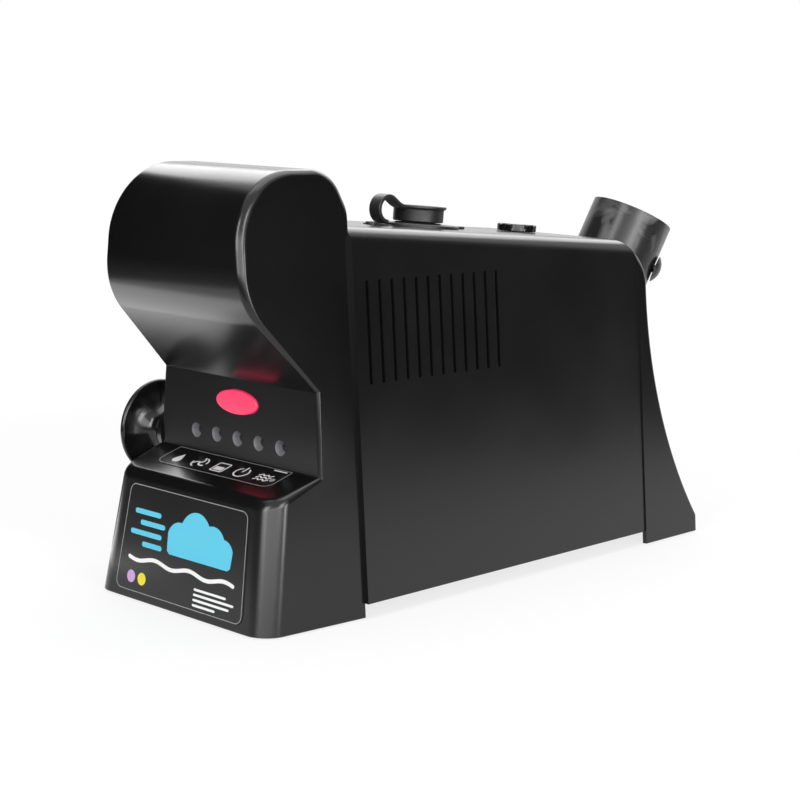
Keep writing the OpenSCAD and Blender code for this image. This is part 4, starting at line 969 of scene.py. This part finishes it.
def bare_metal(name, color, roughness, grain=900, long=(1, 1, 1)):
    """Bare metal: machining or rolling marks run as stretched noise in the roughness and the bump."""
    m, tree, shader, place = new_material(name, Base_Color=(*color, 1), Roughness=roughness, Metallic=1.0)
    stretch = add_node(tree, "Mapping", {"Vector": place, "Scale": long}).outputs["Vector"]
    marks, color = noise(tree, stretch, grain, detail=4), np.array(color)
    roughen(tree, shader, marks, roughness - 0.1, roughness + 0.12)
    tint(tree, shader, marks, color * 0.85, color * 1.08)
    emboss(tree, shader, marks, strength=0.2, distance=0.00004)
    return m


steel = bare_metal("steel", (0.56, 0.56, 0.58), 0.32)
screw_seat = (spool_at[0] - seat_out - 0.05, spool_y, spool_z)
bolt_r, bolt_end, nut_r = 2.0, -26.0, 3.8
nut_low, nut_high = bolt_end + 1.0, bolt_end + 4.2
spool_bolt = [socket_screw(screw_seat, (-1, 0, 0), bolt_r, bolt_end, 4.2, 2.1, 1.8)]
nut = [(bolt_r, nut_low), (nut_r, nut_low), (nut_r, nut_high), (bolt_r, nut_high), (bolt_r, nut_low)]
spool_bolt.append(turned(nut, screw_seat, (-1, 0, 0), n=6))
weld("spool_bolt", spool_bolt, steel, "chassis", ["spool_screw"])

# ---------- power inlet ----------
# Round low-voltage inlet low on the left side: a bezel against the wall, the barrel of the socket behind it
# and a centre pin. The lead plugs in here and winds on the spool above.
inlet_y, inlet_z = -22.0, 30.0
inlet_out = np.array([-1.0, -base_taper, flank_lean])
inlet_at = (-flank_x(inlet_y, inlet_z), inlet_y, inlet_z)
bezel_r, well_r, well_floor, barrel_r, barrel_end, pin_r, pin_tip = 10.5, 4.5, -12.9, 7.6, -17.0, 1.2, -2.2
inlet_profile = np.concatenate([
    [(0, well_floor), (well_r, well_floor), (well_r, 0.6)], arc((well_r + 0.8, 0.6), 0.8, 180, 90, 5)[1:],
    [(well_r + 2.0, 1.4), (well_r + 2.4, 1.75), (bezel_r - 1.1, 1.8)],
    arc((bezel_r - 1.1, 0.7), 1.1, 90, 0, 7)[1:],
    [(bezel_r, 0.05), (barrel_r, 0.05), (barrel_r, barrel_end), (0, barrel_end)]])
dark_plastic = moulded_plastic("dark_plastic", (0.012, 0.012, 0.013), 0.36, grain=0.0008)
weld("inlet_socket", [turned(inlet_profile, inlet_at, inlet_out, n=64)], dark_plastic, "chassis",
     ["power_inlet"])
brass = bare_metal("brass", (0.72, 0.52, 0.22), 0.3)
pin = np.concatenate([[(0, well_floor), (pin_r, well_floor), (pin_r, pin_tip)],
                      arc((0, pin_tip), pin_r, 0, 90, 7)[1:]])
weld("inlet_pin", [turned(pin, inlet_at, inlet_out, n=24)], brass, "chassis")

# ---------- outlet ----------
# Swivelling elbow of glossy black pipe: a flanged stub that turns in the stand, a 67.5 degree bend bonded
# to it, and a straight tube for the hose. Dried residue of the fluid clouds the gloss in patches.
pipe_r, bore_r, outlet_z = 25.5, 23.0, 132.7
bend_in, bend_angle, outlet_lean = 2.0, math.radians(67.5), math.radians(9.7)
bend_r = pipe_r + bend_in
mitre = bend_r * math.tan(bend_angle / 2)
bend_start, pipe_len = 268.4 - mitre, 46.0


def outlet_place(p):
    """Points of the elbow's own frame (y out of the wall, z up, from the stub's axis) turned about y."""
    c, s = math.cos(outlet_lean), math.sin(outlet_lean)
    p = np.asarray(p, float)
    return np.stack([p[..., 0] * c + p[..., 2] * s, p[..., 1], outlet_z - p[..., 0] * s + p[..., 2] * c], -1)


def bend(r):
    """A pipe bend as part of a torus: centre line y = start + R sin t, z = R - R cos t, radius r round it."""
    t = np.linspace(0, bend_angle, 28)[:, None]
    a = np.linspace(0, 2 * np.pi, 97)[None]
    y = bend_start + np.sin(t) * (bend_r - r * np.cos(a))
    z = bend_r - np.cos(t) * (bend_r - r * np.cos(a))
    x = r * np.sin(a) * np.ones_like(t)
    return outlet_place(np.stack([x, y, z], -1))


pipe_gloss = gloss_plastic("pipe_gloss", (0.016, 0.016, 0.0165), 0.27, haze=0.16, haze_size=44, scuff=0.04)
outer, inner = bend(pipe_r), bend(bore_r)
bend_parts = [smooth_patch(outer), smooth_patch(inner[:, ::-1]),
              patch(np.stack([inner[0], outer[0]])), patch(np.stack([outer[-1], inner[-1]]))]
weld("outlet_bend", bend_parts, pipe_gloss, "outlet", ["outlet_elbow"])
stub_y, stub_flange_y, stub_flange_r = 238.6, 238.6 + 3, 29.3
stub_profile = [(bore_r, stub_y), (bore_r, bend_start), (pipe_r, bend_start), (pipe_r, stub_flange_y),
                (stub_flange_r, stub_flange_y), (stub_flange_r, stub_y), (bore_r, stub_y)]
weld("outlet_socket", [turned(stub_profile, (0, 0, outlet_z), (0, 1, 0), n=96)], pipe_gloss, "outlet",
     ["outlet_stub"])
pipe_way = outlet_place([0, math.cos(bend_angle), math.sin(bend_angle)]) - [0, 0, outlet_z]
pipe_side = outlet_place([1, 0, 0]) - [0, 0, outlet_z]
pipe_from = outer[-1, :-1].mean(0)
rim = 0.5
pipe_profile = np.concatenate([
    [(bore_r, 0), (bore_r, pipe_len - 1.6), (bore_r + 0.9, pipe_len - 0.3), (pipe_r - 0.9, pipe_len)],
    arc((pipe_r - rim, pipe_len - rim), rim, 90, 0, 6),
    [(pipe_r, pipe_len - 3.0), (pipe_r, 0.35), (pipe_r - 0.25, 0.0), (bore_r, 0)]])
weld("outlet_tube", [turned(pipe_profile, pipe_from, pipe_way, pipe_side, n=128)], pipe_gloss, "outlet",
     ["nozzle_tube"])

# ---------- hose screw ----------
# Thumb screw with a smooth domed head in the side of the tube; its point presses on a hose pushed in.
knob_down, knob_turn, knob_r, knob_out, knob_lift = 27.0, math.radians(30), 8.2, 4.6, 0.9
dome_ball = 11.6
_, across, up = frame_on(pipe_way, pipe_side)
knob_way = across * math.cos(knob_turn) + up * math.sin(knob_turn)
knob_at = pipe_from + pipe_way * (pipe_len - knob_down) + knob_way * pipe_r
dome_edge = knob_out - dome_ball + math.sqrt(dome_ball ** 2 - (knob_r - 0.5) ** 2)
dome_t = np.linspace(math.asin((knob_r - 0.5) / dome_ball), 0, 14)
knob_profile = np.concatenate([
    [(0, -2.3), (2.5, -2.3), (2.5, knob_lift), (knob_r - 0.4, knob_lift), (knob_r, knob_lift + 0.3),
     (knob_r, dome_edge - 0.35), (knob_r - 0.2, dome_edge - 0.08)],
    np.stack([dome_ball * np.sin(dome_t), knob_out - dome_ball + dome_ball * np.cos(dome_t)], 1)])
knob_black = moulded_plastic("knob_black", (0.011, 0.011, 0.012), 0.3)
weld("hose_knob", [turned(knob_profile, knob_at, knob_way, n=64)], knob_black, "screw", ["hose_screw"],
     sharp=50)

# ---------- outlet collar ----------
# Fixed ring that keeps the stub in the stand, with a chamfered rim and four round-headed screws.
collar_r, collar_t, collar_pitch, collar_y = 38.0, 2.6, 33.0, stand_back
collar_in = pipe_r + 0.6
collar_profile = [(collar_in, 0.02), (collar_in, collar_t - 0.5), (pipe_r + 1.1, collar_t),
                  (collar_r - 1.2, collar_t), (collar_r - 0.35, collar_t - 0.35), (collar_r, collar_t - 1.2),
                  (collar_r, 0.02), (collar_in, 0.02)]
weld("collar_ring", [turned(collar_profile, (0, collar_y, outlet_z), (0, 1, 0), n=96)], spool_black,
     "chassis", ["outlet_collar"])
ring_screws = []
for quarter in range(4):
    a = math.radians(45 + 90 * quarter)
    at = (collar_pitch * math.cos(a), collar_y + collar_t, outlet_z + collar_pitch * math.sin(a))
    ring_screws.append(socket_screw(at, (0, 1, 0), 1.25, -4.6, 2.5, 1.75, 1.1))
weld("collar_bolts", ring_screws, steel, "chassis", ["collar_screws"])

# ---------- filler ----------
# Rubber flange with a pull tab, stuck to the sloping top round the filler neck. The bung that closes it has
# an upturned lid and a strap that curls into a loop, the hinge of the cap, above a stud on the case.
filler_y, flange_r, flange_t = 106.0, 23.0, 1.8
top_tilt = math.atan(top_run)
top_way = np.array([0, math.sin(top_tilt), math.cos(top_tilt)])
top_back = np.array([0, math.cos(top_tilt), -math.sin(top_tilt)])


def on_case_top(y):
    """The point on the middle line of the sloping case top at y."""
    return np.array([0, y, case_top(y)])


def rubber_skin(name, color, roughness, bloom=0.03):
    """Moulded rubber: matt with a soft sheen, a pale bloom in soft random patches and a fine pebble in the
    bump.
    """
    m, tree, shader, place = new_material(
        name, Base_Color=(*color, 1), Roughness=roughness, Sheen_Weight=0.08, Sheen_Roughness=0.4)
    tint(tree, shader, noise(tree, place, scale=70, detail=6), color, np.array(color) + bloom)
    pebble = add_node(tree, "TexVoronoi", {"Vector": place, "Scale": 1800})
    emboss(tree, shader, pebble.outputs["Distance"], strength=0.18, distance=0.00006)
    return m


rubber = rubber_skin("rubber", (0.013, 0.013, 0.0135), 0.42, bloom=0.012)
mouth_r, glue_gap = 11.0, 0.03
flange_profile = np.concatenate([
    [(mouth_r, glue_gap), (mouth_r, 2.4), (12.6, 2.4), (13.0, 2.0), (13.4, flange_t)],
    [(flange_r - 0.9, flange_t)],
    arc((flange_r - 0.9, flange_t - 0.9), 0.9, 90, 0, 6)[1:], [(flange_r, glue_gap), (mouth_r, glue_gap)]])
tab_start, tab_end, tab_r, tab_t = 14.0, 32.0, 5.0, 1.26
tab = np.concatenate([[(-tab_r, tab_start), (tab_r, tab_start)], arc((0, tab_end), tab_r, 0, 180, 17)])


def top_sheet(y):
    """Places flat (x, distance back) points round the case top's point at y, lifted along its normal."""
    return lambda p, lift: on_case_top(y) + p[:, :1] * [1, 0, 0] + p[:, 1:] * top_back + lift * top_way


flange_parts = [turned(flange_profile, on_case_top(filler_y), top_way, (1, 0, 0), n=96)]
flange_parts += plate(tab, top_sheet(filler_y), glue_gap, tab_t)
weld("filler_ring", flange_parts, rubber, "chassis", ["filler_flange"])

cap_r, lid_r, cap_from, lid_from = 14.0, 15.3, 2.8, 10.1
cap_profile = np.concatenate([
    [(0, -2.6), (5.9, -2.6), (9.6, 2.75), (13.5, cap_from), (cap_r, cap_from + 0.5), (cap_r, lid_from - 0.9)],
    arc((cap_r + 0.9, lid_from - 0.9), 0.9, 180, 110, 5)[1:],
    [(lid_r - 0.3, lid_from + 0.15), (lid_r, lid_from + 0.5), (lid_r, lid_from + 1.35),
     (lid_r - 0.25, lid_from + 1.6), (lid_r - 0.7, lid_from + 1.55), (lid_r - 1.5, lid_from + 1.05),
     (lid_r - 3.0, lid_from + 0.9), (0, lid_from + 1.0)]])
hinge_y, hinge_z, loop_r, strap_t, strap_half = 79.0, 199.5, 6.9, 2.2, 4.0
loop_end = math.radians(58)
loop = arc((hinge_y, hinge_z), loop_r, 267, 58, 44)
lid_front = (on_case_top(filler_y) - top_back * (lid_r - 2.2) + top_way * (lid_from + 0.5))[1:]
leave, meet = np.array([math.sin(loop_end), -math.cos(loop_end)]) * 5.0, -top_back[1:] * 5.5
t = np.linspace(0, 1, 16)[1:, None]
swan = (1 - t) ** 3 * loop[-1] + 3 * t * (1 - t) ** 2 * (loop[-1] + leave) \
    + 3 * t ** 2 * (1 - t) * (lid_front + meet) + t ** 3 * lid_front


def band(line, half, thick, n_round=4, edge=0.55):
    """A flat strap along a line in the (y, z) plane: its section is a rounded rectangle as wide as the
    machine's x and as thick as the line's normal, closed at both ends."""
    way = np.gradient(line, axis=0)
    way /= np.linalg.norm(way, axis=1)[:, None]
    normal = np.stack([-way[:, 1], way[:, 0]], 1)
    corner = [arc((sx * (half - edge), sy * (thick / 2 - edge)), edge, a, a + 90, n_round)
              for sx, sy, a in ((1, 1, 0), (-1, 1, 90), (-1, -1, 180), (1, -1, 270))]
    section = np.concatenate(corner)
    section = np.concatenate([section, section[:1]])
    yz = line[:, None] + section[None, :, 1, None] * normal[:, None]
    x = np.broadcast_to(section[None, :, :1], (len(line), len(section), 1))
    rings = np.concatenate([x, yz], -1)
    ends = [patch(np.stack([ring, np.broadcast_to(ring[:-1].mean(0), ring.shape)]))
            for ring in (rings[0], rings[-1])]
    return [smooth_patch(rings), *ends]


bung = [turned(cap_profile, on_case_top(filler_y), top_way, (1, 0, 0), n=96)]
bung += band(np.concatenate([loop, swan]), strap_half, strap_t)
weld("filler_bung", bung, rubber, "cap", ["filler_cap"], sharp=38)

stud_y = 69.5
stud = np.concatenate([[(0, glue_gap), (3.5, glue_gap), (3.5, 0.9)], arc((2.7, 0.8), 0.8, 0, 90, 5)[1:],
                       [(0, 1.6)]])
strap_foot = oblong(-strap_half, -4.2, strap_half, 14.2, [2.5, 2.5, 0.3, 0.3])
stud_parts = [turned(stud, on_case_top(stud_y), top_way, (1, 0, 0), n=40)]
stud_parts += plate(strap_foot, top_sheet(stud_y), glue_gap, 0.5)
weld("strap_button", stud_parts, rubber, "chassis", ["strap_stud"])

# ---------- vent cap ----------
# Low twist cap over the tank's vent, with a dished top and twelve finger notches round its rim.
vent_y, vent_r, vent_h, notch_deep, notch_half = 192.0, 11.5, 4.4, 1.6, math.radians(7.6)
vent_profile = np.array([
    (0, -7), (4.7, -7), (4.7, 0.3), (11.1, 0.3), (vent_r, 0.7), (vent_r, 1.9), (vent_r, 2.0), (vent_r, 3.9),
    (11.0, vent_h), (8.3, vent_h), (7.5, 4.0), (7.3, 3.1), (0, 3.0)])
notch_rows = (6, 8)


def notched(angle, row):
    """Scale of the radius on the rim rows: less by the notch's depth within a notch's half angle."""
    off = np.abs((angle + math.pi / 12) % (math.pi / 6) - math.pi / 12)
    cut = np.clip((notch_half - off) / math.radians(0.8) + 0.5, 0, 1)
    return 1 - np.where((row >= notch_rows[0]) & (row <= notch_rows[1]), cut * notch_deep / vent_r, 0)


vent_part = turned(vent_profile, on_case_top(vent_y), top_way, (1, 0, 0), n=360, swell=notched)
weld("vent_knob", [vent_part], spool_black, "vent", ["vent_cap"])

# ---------- rubber feet ----------
# Four round pads pressed into the webs under the base and the stand, with a soft edge where they meet the
# ground and a shallow dimple from the mould.
pad_r, pad_t, front_x, rear_x = 7.0, 4.0, 48.0, 56.0
front_y, rear_y = np.array(box_ys("rubber_feet")) + [pad_r, -pad_r]
pad = np.concatenate([
    [(0, 0.5), (2.4, 0.5), (2.9, 0.1), (pad_r - 0.9, 0.0)], arc((pad_r - 0.9, 0.9), 0.9, -90, 0, 6)[1:],
    [(pad_r, pad_t), (0, pad_t)]])
feet = [turned(pad, (x, y, 0), (0, 0, 1), (1, 0, 0), n=40) for x, y in (
    (front_x, front_y), (-front_x, front_y), (rear_x, rear_y), (-rear_x, rear_y))]
weld("foot_pads", feet, rubber, "chassis", ["rubber_feet"])

# ---------- inside parts ----------
# Plates, boards, tank, fan and mist head keep their machined shapes and get the finish of what they are
# made of: moulded plastic, milky tank plastic, etched board, foam, rubber or metal.
board_green, tree, shader, place = new_material(
    "board_green", Base_Color=(0.01, 0.12, 0.05, 1), Roughness=0.35)
laminate, copper = (0.006, 0.07, 0.03, 1), (0.02, 0.2, 0.08, 1)
traces = add_node(tree, "TexBrick", {"Vector": place, "Scale": 150, "Mortar Size": 0.035, "Color1": laminate,
                                     "Color2": laminate, "Mortar": copper})
tree.links.new(traces.outputs["Color"], shader.inputs["Base Color"])
emboss(tree, shader, traces.outputs["Fac"], strength=1.0, distance=0.00003)
tank_milky = moulded_plastic("tank_milky", (0.72, 0.75, 0.76), 0.35, grain=0.0012, dust=0.2)
depth = tank_milky.node_tree.nodes["Principled BSDF"].inputs
depth["Subsurface Weight"].default_value = 0.2
depth["Subsurface Radius"].default_value = (0.004, 0.004, 0.004)
float_white = moulded_plastic("float_white", (0.8, 0.8, 0.78), 0.4, grain=0.0008, dust=0.2)
aluminium = bare_metal("aluminium", (0.75, 0.76, 0.78), 0.38, long=(1, 1, 8))
foam = rubber_skin("foam", (0.02, 0.02, 0.021), 0.95, bloom=0.02)
for finish, names in (
        (case_black, ["base_tray"]),
        (dark_plastic, ["bulkhead", "press_switch", "board_posts", "tank_rails", "fan_frame", "fan_rotor",
                        "driver_parts"]),
        (board_green, ["control_board", "driver_board"]),
        (steel, ["board_screws", "stand_screws", "mist_head", "disc_clamp", "fan_spindle"]),
        (brass, ["mist_disc"]), (aluminium, ["driver_posts", "heat_sink"]),
        (tank_milky, ["water_tank", "tank_lid", "mist_duct"]), (float_white, ["float_stem", "level_float"]),
        (rubber, ["lid_seal", "fan_seal"]), (foam, ["filter_pads"])):
    for name in names:
        nodes[name].data.materials.clear()
        nodes[name].data.materials.append(finish)
